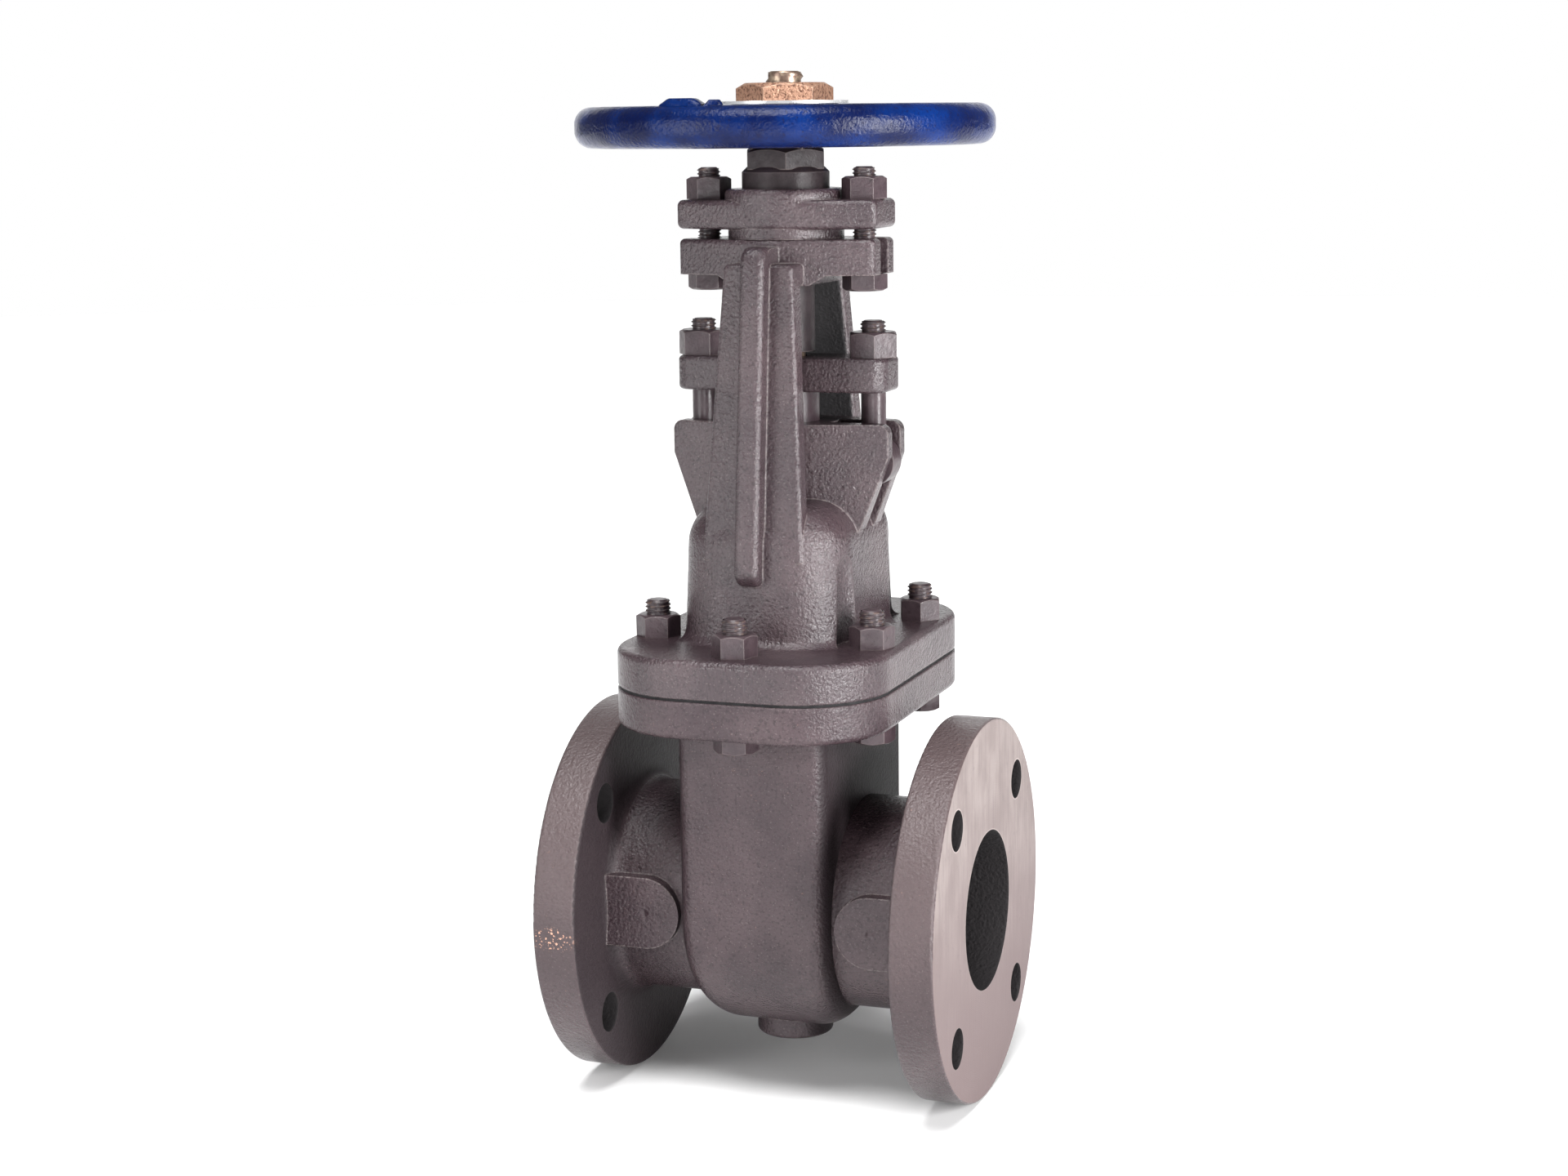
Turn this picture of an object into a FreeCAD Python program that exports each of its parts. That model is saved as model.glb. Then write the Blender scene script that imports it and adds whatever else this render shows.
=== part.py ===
"""Flanged gate valve with an outside screw and yoke, in millimetres.

The origin is the centre of the inlet flange's face. +X is the way of the flow, +Z is up, and the
stem stands on the middle of the face-to-face length. The valve is shown closed.
"""
import FreeCAD, Part
import math
import os
import re
import Sketcher

SIZES = {
    # End flanges, bore and necks
    "face_to_face": 203.2,
    "bore_radius": 39.6,
    "end_flange_radius": 95.25,
    "end_flange_thickness": 22.0,
    "hole_to_rim": 19.05,
    "flange_hole_radius": 9.9,
    "neck_wall": 13.4,
    "neck_fillet": 8.0,
    "neck_split": 1.6,
    "rim_round": 1.2,
    # Wedge housing of the body
    "body_wall": 9.0,
    "end_wall": 13.0,
    "housing_round": 8.0,
    "housing_foot_round": 19.0,
    "wedge_side_gap": 10.0,
    "wedge_face_gap": 8.0,
    "drain_boss_radius": 19.2,
    "drain_boss_height": 7.2,
    "drain_boss_round": 2.0,
    "side_pad_radius": 18.0,
    "side_pad_offset": 43.1,
    "side_pad_rise": 4.0,
    # Oblong joint between body and bonnet
    "joint_height": 117.5,
    "oblong_reach_x": 30.0,
    "oblong_reach_y": 33.0,
    "oblong_corner": 45.0,
    "oblong_outer_round": 3.5,
    "oblong_joint_round": 0.8,
    "body_flange_thickness": 18.5,
    "bonnet_flange_thickness": 18.7,
    "gasket_thickness": 1.2,
    "side_bolt_edge": 12.8,
    "side_bolt_offset": 39.2,
    "end_bolt_edge": 18.0,
    "bolt_hole_gap": 0.8,
    # Bonnet dome, stuffing box and gland ears
    "dome_step": 9.5,
    "dome_tuck": 6.0,
    "dome_corner": 30.0,
    "dome_draft": 2.5,
    "dome_height": 67.6,
    "dome_shoulder": 22.0,
    "dome_wall": 9.0,
    "dome_crown": 17.0,
    "dome_foot_fillet": 6.0,
    "bolt_relief_radius": 17.0,
    "bolt_relief_height": 36.0,
    "stuffing_box_wall": 9.6,
    "stuffing_box_height": 36.0,
    "ear_reach": 55.5,
    "ear_depth": 16.0,
    "ear_thickness": 6.0,
    "ear_slot": 14.0,
    "ear_foot_reach": 42.0,
    "ear_foot_height": 51.0,
    "ear_foot_tuck": 8.0,
    "ear_round": 5.0,
    "ear_middle_step": 0.6,
    # Yoke arms and yoke plate
    "arm_foot_height": 41.0,
    "arm_head_rise": 10.8,
    "arm_foot_half_width": 25.6,
    "arm_head_half_width": 17.5,
    "arm_foot_front": 54.6,
    "arm_head_front": 41.3,
    "arm_foot_depth": 10.6,
    "arm_head_depth": 12.4,
    "arm_round": 2.5,
    "rib_foot_height": 29.4,
    "rib_head_rise": 19.3,
    "rib_half_width": 6.2,
    "rib_foot_front": 65.5,
    "rib_head_front": 49.7,
    "rib_root": 3.0,
    "rib_round": 3.5,
    "rib_end_round": 8.0,
    "gusset_rise": 18.5,
    "gusset_reach": 46.0,
    "yoke_height": 67.0,
    "yoke_plate_thickness": 21.8,
    "yoke_ear_reach": 50.0,
    "yoke_ear_half_width": 16.0,
    "yoke_ear_corner": 3.0,
    "yoke_ear_lift": 4.6,
    "yoke_haunch_foot": 18.0,
    "yoke_haunch_head": 27.5,
    "yoke_slot_half_width": 6.2,
    "yoke_edge_round": 2.5,
    # Yoke cap and yoke nut
    "cap_bolt_reach": 40.0,
    "cap_gap": 4.7,
    "cap_ear_reach": 51.0,
    "cap_ear_half_width": 16.0,
    "cap_foot_radius": 28.3,
    "cap_boss_step": 0.3,
    "cap_ear_thickness": 14.0,
    "cap_boss_radius": 29.5,
    "cap_boss_height": 23.9,
    "cap_round": 3.0,
    "spot_face_radius": 11.5,
    "sleeve_wall": 4.3,
    "sleeve_gap": 0.5,
    "sleeve_drop": 33.0,
    "sleeve_bore_rise": 12.5,
    "thrust_collar_step": 4.2,
    "thrust_collar_height": 10.0,
    "nut_neck_radius": 21.3,
    "nut_neck_rise": 10.3,
    "nut_neck_chamfer": 2.5,
    "nut_hex_flats": 36.9,
    "nut_hex_height": 9.0,
    "nut_square_flats": 27.0,
    "nut_end_radius": 13.0,
    "nut_end_rise": 10.0,
    # Handwheel and what holds it
    "wheel_radius": 101.6,
    "wheel_rim_width": 21.0,
    "wheel_rim_height": 19.5,
    "wheel_rim_round": 8.2,
    "wheel_hub_radius": 26.0,
    "wheel_hub_height": 20.6,
    "wheel_hub_lift": 0.3,
    "spoke_count": 5,
    "spoke_half_width": 9.0,
    "spoke_half_height": 5.5,
    "wheel_plate_radius": 31.0,
    "wheel_plate_thickness": 1.4,
    "wheel_nut_flats": 40.9,
    "wheel_nut_height": 8.6,
    # Stem, wedge and seats
    "stem_radius": 8.7,
    "thread_core_radius": 7.95,
    "stem_rise": 5.5,
    "screw_inset": 3.0,
    "wedge_overlap": 5.4,
    "wedge_half_thickness": 13.0,
    "wedge_lean": 5.0,
    "wedge_hub_half_thickness": 15.5,
    "wedge_hub_half_width": 19.0,
    "wedge_hub_height": 17.0,
    "wedge_hub_depth": 11.0,
    "stem_head_half_width": 12.0,
    "stem_head_height": 9.0,
    "stem_head_drop": 17.0,
    "seat_ring_wall": 7.0,
    "seat_depth": 9.0,
    "seat_gap": 0.3,
    # Gland and packing
    "packing_wall": 6.7,
    "packing_height": 26.0,
    "gland_gap": 15.1,
    "gland_flange_thickness": 16.5,
    "gland_reach": 54.0,
    "gland_half_width": 16.0,
    "gland_corner": 9.0,
    "gland_edge_round": 2.0,
    "gland_way_gap": 1.0,
    "gland_spigot_step": 2.3,
    "gland_spigot_height": 8.0,
    "eyebolt_reach": 44.0,
    "eye_radius": 12.0,
    "eye_drop": 19.0,
    "eye_half_thickness": 6.4,
    "eye_pin_radius": 5.0,
    # Bolts and nuts
    "bolt_radius": 6.1,
    "thread_depth": 0.6,
    "cap_bolt_radius": 5.6,
    "nut_flats": 22.2,
    "nut_height": 12.3,
    "small_nut_flats": 19.05,
    "small_nut_height": 10.8,
    "bolt_head_height": 8.0,
    "bonnet_bolt_end": 7.2,
    "gland_bolt_end": 5.5,
    "cap_bolt_end": 4.6,
    "bolt_point": 1.2,
    "hexagon_chamfer": 0.47,
    # Clearances, and how far a cut runs past the face that it opens
    "overrun": 1.0,
    "running_gap": 0.05,
    "loose_gap": 0.3,
}

# Places worked out from the sizes
PLACES = {
    "stem_x": "face_to_face / 2",
    "neck_radius": "bore_radius + neck_wall",
    "seat_ring_radius": "bore_radius + seat_ring_wall",
    "wedge_radius": "bore_radius + wedge_overlap",
    "cavity_half_width": "wedge_radius + wedge_side_gap",
    "wedge_reach": "wedge_radius + seat_ring_wall",
    "wedge_spread": "wedge_reach * tan(wedge_lean)",
    "cavity_half_length": "wedge_half_thickness + wedge_radius * tan(wedge_lean) + wedge_face_gap",
    "housing_half_width": "cavity_half_width + body_wall",
    "housing_half_length": "cavity_half_length + end_wall",
    "split_reach": "housing_half_length + neck_split",
    "bolt_circle_radius": "end_flange_radius - hole_to_rim",
    "oblong_half_length": "housing_half_length + oblong_reach_x",
    "oblong_half_width": "housing_half_width + oblong_reach_y",
    "side_bolt_reach": "oblong_half_length - side_bolt_edge",
    "end_bolt_reach": "oblong_half_width - end_bolt_edge",
    "bonnet_base": "joint_height + gasket_thickness",
    "bonnet_top": "bonnet_base + bonnet_flange_thickness",
    "dome_cavity_half_length": "cavity_half_length + dome_step",
    "dome_cavity_half_width": "cavity_half_width - dome_tuck",
    "dome_half_length": "dome_cavity_half_length + dome_wall",
    "dome_half_width": "dome_cavity_half_width + dome_wall",
    "dome_top": "bonnet_top + dome_height",
    "box_top": "dome_top + stuffing_box_height",
    "packing_radius": "stem_radius + packing_wall",
    "stuffing_box_radius": "packing_radius + stuffing_box_wall",
    "ear_back": "ear_slot / 2 + ear_thickness",
    "yoke_base": "box_top + yoke_height",
    "yoke_top": "yoke_base + yoke_plate_thickness",
    "cap_ear_base": "yoke_top + cap_gap",
    "cap_ear_top": "cap_ear_base + cap_ear_thickness",
    "cap_top": "yoke_top + cap_boss_height",
    "sleeve_bore": "stem_radius + sleeve_gap",
    "sleeve_radius": "stem_radius + sleeve_gap + sleeve_wall",
    "neck_top": "cap_top + nut_neck_rise",
    "hex_top": "neck_top + nut_hex_height",
    "hub_base": "hex_top + wheel_hub_lift",
    "hub_top": "hub_base + wheel_hub_height",
    "plate_top": "hub_top + wheel_plate_thickness",
    "wheel_nut_top": "plate_top + wheel_nut_height",
    "gland_base": "box_top + gland_gap",
    "gland_top": "gland_base + gland_flange_thickness",
    "packing_top": "dome_top + packing_height",
    "eye_height": "box_top - eye_drop",
    "wedge_top": "wedge_radius + wedge_hub_height",
    "stem_foot": "wedge_top - stem_head_drop",
    "stem_top": "wheel_nut_top + stem_rise",
    "screw_start": "yoke_base - sleeve_drop + screw_inset",
    "ear_foot": "dome_top - dome_shoulder",
    "yoke_ear_base": "yoke_base + yoke_ear_lift",
    "cap_core_radius": "cap_bolt_radius - thread_depth",
    "bolt_core_radius": "bolt_radius - thread_depth",
}

UP = FreeCAD.Vector(0, 0, 1)
AXES = {
    "z": FreeCAD.Rotation(),
    "x": FreeCAD.Rotation(FreeCAD.Vector(0, 1, 0), 90),
    "y": FreeCAD.Rotation(FreeCAD.Vector(1, 0, 0), -90),
}
SIDES = {"left": -1, "right": 1}
QUARTERS = (45, 135, 225, 315)

# How far each fastener is turned, in degrees
BONNET_NUT_TURNS = (16.0, 18.0, 24.0, 49.0, 14.0, 28.0)
GLAND_NUT_TURNS = {"left": 4.0, "right": 50.0}
CAP_BOLT_TURN = 12.0
CAP_NUT_TURNS = {"left": 20.0, "right": 11.0}
YOKE_NUT_TURN = 50.0
WHEEL_NUT_TURN = 24.0

# Two places closer than this are the same, in millimetres
TOLERANCE = 0.01

doc = FreeCAD.newDocument("flanged_gate_valve")
sheet = doc.addObject("Spreadsheet::Sheet", "sizes")
for row, (alias, value) in enumerate(SIZES.items(), start=1):
    sheet.set("A%d" % row, alias)
    sheet.set("B%d" % row, str(value))
    sheet.setAlias("B%d" % row, alias)
doc.recompute()


def cells(text):
    """Turn the plain names in an expression into cells of the sheet."""
    def swap(match):
        word = match.group(0)
        if word in PLACES:
            return "(" + cells(PLACES[word]) + ")"
        return "sizes." + word if word in SIZES else word
    return re.sub(r"[a-z][a-z_]+", swap, text)


def number(text):
    """Value of an expression now."""
    return float(sheet.evalExpression(cells(text)))


def bind(item, **properties):
    """Bind properties of an object to expressions."""
    for name, text in properties.items():
        item.setExpression(name, cells(text))
    return item


def place(item, x="0", y="0", z="0", turn=AXES["z"]):
    """Turn an object and bind its position to expressions."""
    item.Placement = FreeCAD.Placement(FreeCAD.Vector(), turn)
    for axis, text in (("x", x), ("y", y), ("z", z)):
        if text != "0":
            item.setExpression("Placement.Base." + axis, cells(text))
    return item


def cylinder(radius, length, x="0", y="0", z="0", along="z"):
    item = bind(doc.addObject("Part::Cylinder", "cylinder"), Radius=radius, Height=length)
    return place(item, x, y, z, AXES[along])


def cone(low_radius, high_radius, length, x="0", y="0", z="0", along="z"):
    item = doc.addObject("Part::Cone", "cone")
    bind(item, Radius1=low_radius, Radius2=high_radius, Height=length)
    return place(item, x, y, z, AXES[along])


def block(x_low, x_high, y_low, y_high, z_low, z_high):
    """Box between six limits."""
    item = doc.addObject("Part::Box", "block")
    bind(item, Length="(%s) - (%s)" % (x_high, x_low), Width="(%s) - (%s)" % (y_high, y_low))
    bind(item, Height="(%s) - (%s)" % (z_high, z_low))
    return place(item, x_low, y_low, z_low)


def fuse(*items, refine=True):
    result = doc.addObject("Part::MultiFuse", "fuse")
    result.Shapes = list(items)
    result.Refine = refine
    return result


def cut(base, *tools):
    result = doc.addObject("Part::Cut", "cut")
    result.Base = base
    result.Tool = tools[0] if len(tools) == 1 else fuse(*tools)
    result.Refine = True
    return result


def common(first, second):
    result = doc.addObject("Part::Common", "common")
    result.Base = first
    result.Tool = second
    return result


def mirrored(item, normal, x="0"):
    """Mirror image across an upright plane."""
    result = doc.addObject("Part::Mirroring", "mirror")
    result.Source = item
    result.Normal = FreeCAD.Vector(*normal)
    if x != "0":
        result.setExpression("Base.x", cells(x))
    return result


def rounded(item, radius, chosen, low_radius=None):
    """Round the chosen edges; with low_radius, an arc grows to it at its lower end."""
    doc.recompute()
    result = doc.addObject("Part::Fillet", "fillet")
    result.Base = item
    high = number(radius)
    edges = []
    for index, edge in enumerate(item.Shape.Edges, start=1):
        if not chosen(edge):
            continue
        ends = (high, high)
        if low_radius and edge.Curve.TypeId == "Part::GeomCircle":
            ends = (number(low_radius), high)
            if edge.valueAt(edge.FirstParameter).z > edge.valueAt(edge.LastParameter).z:
                ends = (high, number(low_radius))
        edges.append((index, *ends))
    result.Edges = edges
    return result


def middle(edge):
    return edge.valueAt((edge.FirstParameter + edge.LastParameter) / 2)


def upright(edge):
    """True for a straight edge along Z."""
    if edge.Curve.TypeId != "Part::GeomLine":
        return False
    return near(abs(edge.tangentAt(edge.FirstParameter).z), 1)


def near(value, goal):
    return abs(value - goal) < TOLERANCE


def outline(body, role, points, lift="0"):
    """Sketch a closed outline on an origin plane, each corner bound to expressions."""
    sketch = body.newObject("Sketcher::SketchObject", "outline")
    plane = [item for item in body.Origin.OriginFeatures if item.Role == role][0]
    sketch.AttachmentSupport = [(plane, "")]
    sketch.MapMode = "FlatFace"
    if lift != "0":
        sketch.setExpression("AttachmentOffset.Base.z", cells(lift))
    corners = [FreeCAD.Vector(number(u), number(v), 0) for u, v in points]
    for start, end in zip(corners, corners[1:] + corners[:1]):
        sketch.addGeometry(Part.LineSegment(start, end))
    for index, corner in enumerate(points):
        after = (index + 1) % len(points)
        sketch.addConstraint(Sketcher.Constraint("Coincident", index, 2, after, 1))
        for kind, text in zip(("DistanceX", "DistanceY"), corner):
            rule = Sketcher.Constraint(kind, -1, 1, index, 1, number(text))
            place_in_list = sketch.addConstraint(rule)
            sketch.setExpression("Constraints[%d]" % place_in_list, cells(text))
    return sketch


def feature(body, kind, sketch, **properties):
    """Add a PartDesign feature that reads a sketch."""
    item = body.newObject("PartDesign::" + kind, kind.lower())
    item.Profile = sketch
    bind(item, **properties)
    return item


def padded(body, role, points, low, high, reverse=False):
    """Pad an outline between two heights over its plane."""
    sketch = outline(body, role, points, low)
    item = feature(body, "Pad", sketch, Length="(%s) - (%s)" % (high, low))
    item.Reversed = reverse
    return item


def turned(body, points, axis="V_Axis"):
    """Revolve an outline on the XZ plane about one of its axes."""
    item = feature(body, "Revolution", outline(body, "XZ_Plane", points))
    item.ReferenceAxis = (item.Profile[0], [axis])
    item.Angle = 360
    return item


def soften(body, base, radius, chosen):
    """PartDesign fillet on the edges for which chosen is true."""
    doc.recompute()
    edges = enumerate(base.Shape.Edges, start=1)
    names = ["Edge%d" % index for index, edge in edges if chosen(edge)]
    item = body.newObject("PartDesign::Fillet", "fillet")
    item.Base = (base, names)
    bind(item, Radius=radius)
    return item


def new_body(label):
    return doc.addObject("PartDesign::Body", label)


def rectangle(half_u, half_v, centre_u="0"):
    low = "%s - (%s)" % (centre_u, half_u)
    high = "%s + (%s)" % (centre_u, half_u)
    return [(low, "-(%s)" % half_v), (high, "-(%s)" % half_v), (high, half_v), (low, half_v)]


def flat_at(*heights):
    """Test for a level edge at one of some heights."""
    levels = [number(height) for height in heights]

    def test(edge):
        box = edge.BoundBox
        return box.ZLength < TOLERANCE and any(near(box.ZMin, level) for level in levels)
    return test


def oblong(half_length, half_width, corner, low, high, low_round=None, high_round=None):
    """Rounded rectangular plate centred on the stem, each rim with its own rounding."""
    body = new_body("oblong")
    pad = padded(body, "XY_Plane", rectangle(half_length, half_width, "stem_x"), low, high)
    plate = soften(body, pad, corner, upright)
    if low_round:
        plate = soften(body, plate, low_round, flat_at(low))
    if high_round:
        soften(body, plate, high_round, flat_at(high))
    return body


def lozenge(reach, half, radius, low, high, centre="0", corner=None):
    """Plate whose straight sides run from its two narrow ends tangent to a round middle."""
    lean = "(asin((%s) / sqrt((%s)^2 + (%s)^2)) - atan((%s) / (%s)))" % (radius, reach, half, half, reach)
    peak = "(%s) / cos(%s)" % (radius, lean)
    right, left = "%s + %s" % (centre, reach), "%s - (%s)" % (centre, reach)
    body = new_body("lozenge")
    pad = padded(body, "XY_Plane", [
        (left, "-(%s)" % half), (centre, "-" + peak), (right, "-(%s)" % half),
        (right, half), (centre, peak), (left, half)], low, high)
    soft = soften(body, pad, radius, lambda edge: upright(edge) and near(middle(edge).x, number(centre)))
    if corner:
        soften(body, soft, corner, lambda edge: (
            upright(edge) and near(abs(middle(edge).x - number(centre)), number(reach))))
    return body


def hexagon(flats, height, x="0", y="0", z="0", chamfer_up=True):
    """Hexagonal blank with its corners turned off at one end."""
    prism = doc.addObject("Part::Prism", "hexagon")
    prism.Polygon = 6
    bind(prism, Circumradius="(%s) / 2 / cos(30)" % flats, Height=height)
    place(prism, x, y, z)
    small = "(%s) * hexagon_chamfer" % flats
    large = "(%s) * hexagon_chamfer + (%s) / tan(30)" % (flats, height)
    ends = (large, small) if chamfer_up else (small, large)
    return common(prism, cone(*ends, height, x, y, z))


finished = []


def finish(item, label, x="0", y="0", z="0", angle=0.0):
    """Name a sub-part and set where it stands."""
    item.Label = label
    if (x, y, z) != ("0", "0", "0") or angle:
        place(item, x, y, z, FreeCAD.Rotation(UP, angle))
    finished.append(item)
    return item


def bolt_places():
    """Number, x and y of the six bonnet bolts."""
    side = [(sx, sy) for sy in (-1, 1) for sx in (-1, 1)]
    spots = [("%d * side_bolt_reach" % sx, "%d * side_bolt_offset" % sy) for sx, sy in side]
    spots += [("0", "%d * end_bolt_reach" % sy) for sy in (-1, 1)]
    return [(index, "stem_x + " + x, y) for index, (x, y) in enumerate(spots, start=1)]


def bonnet_bolt_holes(low, high):
    length = "(%s) - (%s)" % (high, low)
    return [cylinder("bolt_radius + bolt_hole_gap", length, x, y, low) for _, x, y in bolt_places()]


def valve_body():
    """Cast body: two end flanges on necks, the wedge housing, pads, boss and joint flange.

    The casting is one piece. It is handed over in three, cut across its two necks.
    """
    run = new_body("run")
    length = "face_to_face"
    step = "face_to_face - end_flange_thickness"
    ends = turned(run, [
        ("0", "bore_radius"), ("0", "end_flange_radius"),
        ("end_flange_thickness", "end_flange_radius"), ("end_flange_thickness", "neck_radius"),
        (step, "neck_radius"), (step, "end_flange_radius"),
        (length, "end_flange_radius"), (length, "bore_radius")], "H_Axis")
    foot = soften(run, ends, "neck_fillet", ring_of("neck_radius"))
    soften(run, foot, "rim_round", ring_of("end_flange_radius"))

    housing = rounded(arch("housing_half_width", "housing_half_length", "joint_height - overrun"),
                      "housing_round", on_housing_edge, "housing_foot_round")
    flange = oblong("oblong_half_length", "oblong_half_width", "oblong_corner",
                    "joint_height - body_flange_thickness", "joint_height",
                    "oblong_outer_round", "oblong_joint_round")
    foot = "-housing_half_width - drain_boss_height"
    boss = rounded(cylinder("drain_boss_radius", "housing_half_width + drain_boss_height",
                            "stem_x", z=foot), "drain_boss_round", flat_at(foot))
    outside = fuse(run, housing, flange, boss, *side_pads())

    cavity = arch("cavity_half_width", "cavity_half_length", "joint_height + overrun")
    bore = cylinder("bore_radius", "face_to_face + 2 * overrun", "-overrun", along="x")
    pocket = cylinder("seat_ring_radius", "2 * (cavity_half_length + seat_depth)",
                      "stem_x - cavity_half_length - seat_depth", along="x")
    holes = []
    for x in ("-overrun", "face_to_face - end_flange_thickness - overrun"):
        for angle in QUARTERS:
            holes.append(cylinder(
                "flange_hole_radius", "end_flange_thickness + 2 * overrun", x,
                "bolt_circle_radius * cos(%d)" % angle, "bolt_circle_radius * sin(%d)" % angle, "x"))
    holes += bonnet_bolt_holes("joint_height - body_flange_thickness - overrun", "joint_height + overrun")
    casting = cut(outside, cavity, bore, pocket, *holes)
    inlet = end_room("-overrun", "-overrun")
    outlet = end_room("stem_x + split_reach", "face_to_face - end_flange_thickness - overrun")
    finish(cut(casting, inlet, outlet), "valve_body")
    finish(common(casting, inlet), "inlet_end")
    finish(common(casting, outlet), "outlet_end")


def end_room(neck_start, flange_start):
    """Space that holds one end flange and its neck up to the cut, clear of the joint flange."""
    neck = cylinder("neck_radius + side_pad_radius", "stem_x - split_reach + overrun", neck_start,
                    along="x")
    flange = cylinder("end_flange_radius + overrun", "end_flange_thickness + 2 * overrun",
                      flange_start, along="x")
    return fuse(neck, flange)


def ring_of(radius):
    """Test for a circle about the bore."""
    size = number(radius)

    def test(edge):
        box = edge.BoundBox
        return box.XLength < TOLERANCE and near(box.ZLength / 2, size)
    return test


def arch(half_width, half_length, top):
    """Upright slab with a half-round foot about the bore."""
    span = "2 * (%s)" % half_length
    start = "stem_x - (%s)" % half_length
    drum = cylinder(half_width, span, start, along="x")
    tower = block(start, "stem_x + " + half_length, "-(%s)" % half_width, half_width, "0", top)
    return fuse(drum, tower, refine=False)


def on_housing_edge(edge):
    """True for the outer edges of the wedge housing, on both of its end faces."""
    box = edge.BoundBox
    if box.XLength > TOLERANCE:
        return False
    on_side = upright(edge) and near(abs(box.YMin), number("housing_half_width"))
    return on_side or (edge.Curve.TypeId == "Part::GeomCircle" and box.ZMax < TOLERANCE)


def side_pads():
    """Round pads on both sides of each neck, drawn out to the end flange beside them."""
    reach = "neck_radius + side_pad_rise"
    low = "-neck_radius - side_pad_rise"
    pads = []
    for centre, start, end in (
            ("side_pad_offset", "end_flange_thickness / 2", "side_pad_offset"),
            ("face_to_face - side_pad_offset", "face_to_face - side_pad_offset",
             "face_to_face - end_flange_thickness / 2")):
        pads.append(cylinder("side_pad_radius", "2 * (%s)" % reach, centre, low, along="y"))
        pads.append(block(start, end, low, reach, "-side_pad_radius", "side_pad_radius"))
    return pads


def dome():
    """Bonnet dome: a drafted rounded block with a round shoulder."""
    body = new_body("dome")
    pad = padded(body, "XY_Plane", rectangle("dome_half_length", "dome_half_width", "stem_x"),
                 "bonnet_top", "dome_top")
    bind(pad, TaperAngle="-dome_draft")
    walls = soften(body, pad, "dome_corner", standing)
    soften(body, walls, "dome_shoulder", flat_at("dome_top"))
    return body


def standing(edge):
    """True for an edge that stands up, leaning or not."""
    box = edge.BoundBox
    return box.ZLength > 2 * max(box.XLength, box.YLength)


def covered_flange():
    """Joint flange of the bonnet with the dome on it and a fillet round the dome's foot."""
    flange = oblong("oblong_half_length", "oblong_half_width", "oblong_corner", "bonnet_base",
                    "bonnet_top", "oblong_joint_round", "oblong_outer_round")
    at_top = flat_at("bonnet_top")
    reach = number("dome_half_width + overrun")
    return rounded(fuse(flange, dome()), "dome_foot_fillet",
                   lambda edge: at_top(edge) and abs(middle(edge).y) < reach)


def dome_cavity():
    body = new_body("dome_cavity")
    pad = padded(body, "XY_Plane",
                 rectangle("dome_cavity_half_length", "dome_cavity_half_width", "stem_x"),
                 "bonnet_base - overrun", "dome_top - dome_crown")
    walls = soften(body, pad, "dome_corner - dome_wall", upright)
    soften(body, walls, "dome_shoulder - dome_wall", flat_at("dome_top - dome_crown"))
    return body


def gland_ears():
    """Two upright plates that run tangent to the stuffing box, with a slot for the eyebolts."""
    body = new_body("gland_ears")
    right = [("stem_x + ear_foot_reach - ear_foot_tuck", "ear_foot"),
             ("stem_x + ear_foot_reach", "box_top - ear_foot_height"),
             ("stem_x + ear_reach", "box_top - ear_depth"), ("stem_x + ear_reach", "box_top")]
    left = [("2 * stem_x - (%s)" % x, z) for x, z in reversed(right)]
    plan_radius = "stuffing_box_radius + ear_middle_step"
    depth = plan_radius + " + overrun"
    sketch = outline(body, "XZ_Plane", right + left, "-(%s)" % depth)
    pad = feature(body, "Pad", sketch, Length="2 * (%s)" % depth)
    pad.Reversed = False
    at_top = flat_at("box_top")
    reach = number("ear_reach")
    soften(body, pad, "ear_round", lambda edge: (
        at_top(edge) and near(abs(edge.BoundBox.XMin - number("stem_x")), reach)))
    left_end, right_end = "stem_x - ear_reach - overrun", "stem_x + ear_reach + overrun"
    low_end, high_end = "ear_foot - overrun", "box_top + overrun"
    slot = outline(body, "XZ_Plane", [(left_end, low_end), (right_end, low_end),
                                      (right_end, high_end), (left_end, high_end)],
                   "-ear_slot / 2")
    pocket = feature(body, "Pocket", slot, Length="ear_slot")
    pocket.Reversed = True
    plan = lozenge("ear_reach + overrun", "ear_back", plan_radius, low_end, high_end, "stem_x")
    return common(body, plan)


def tapered_post(foot_half, head_half, foot_low, head_low, foot_high, head_high, low, high):
    """Upright post that narrows, between two distances from the XZ plane on the -Y side."""
    post = doc.addObject("Part::Wedge", "post")
    bind(post, Ymin=low, Ymax=high)
    bind(post, Xmin="-(%s)" % foot_half, Xmax=foot_half, X2min="-(%s)" % head_half, X2max=head_half)
    bind(post, Zmin=foot_low, Zmax=foot_high, Z2min=head_low, Z2max=head_high)
    place(post, "stem_x", turn=FreeCAD.Rotation(FreeCAD.Vector(1, 0, 0), 90))
    return post


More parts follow.
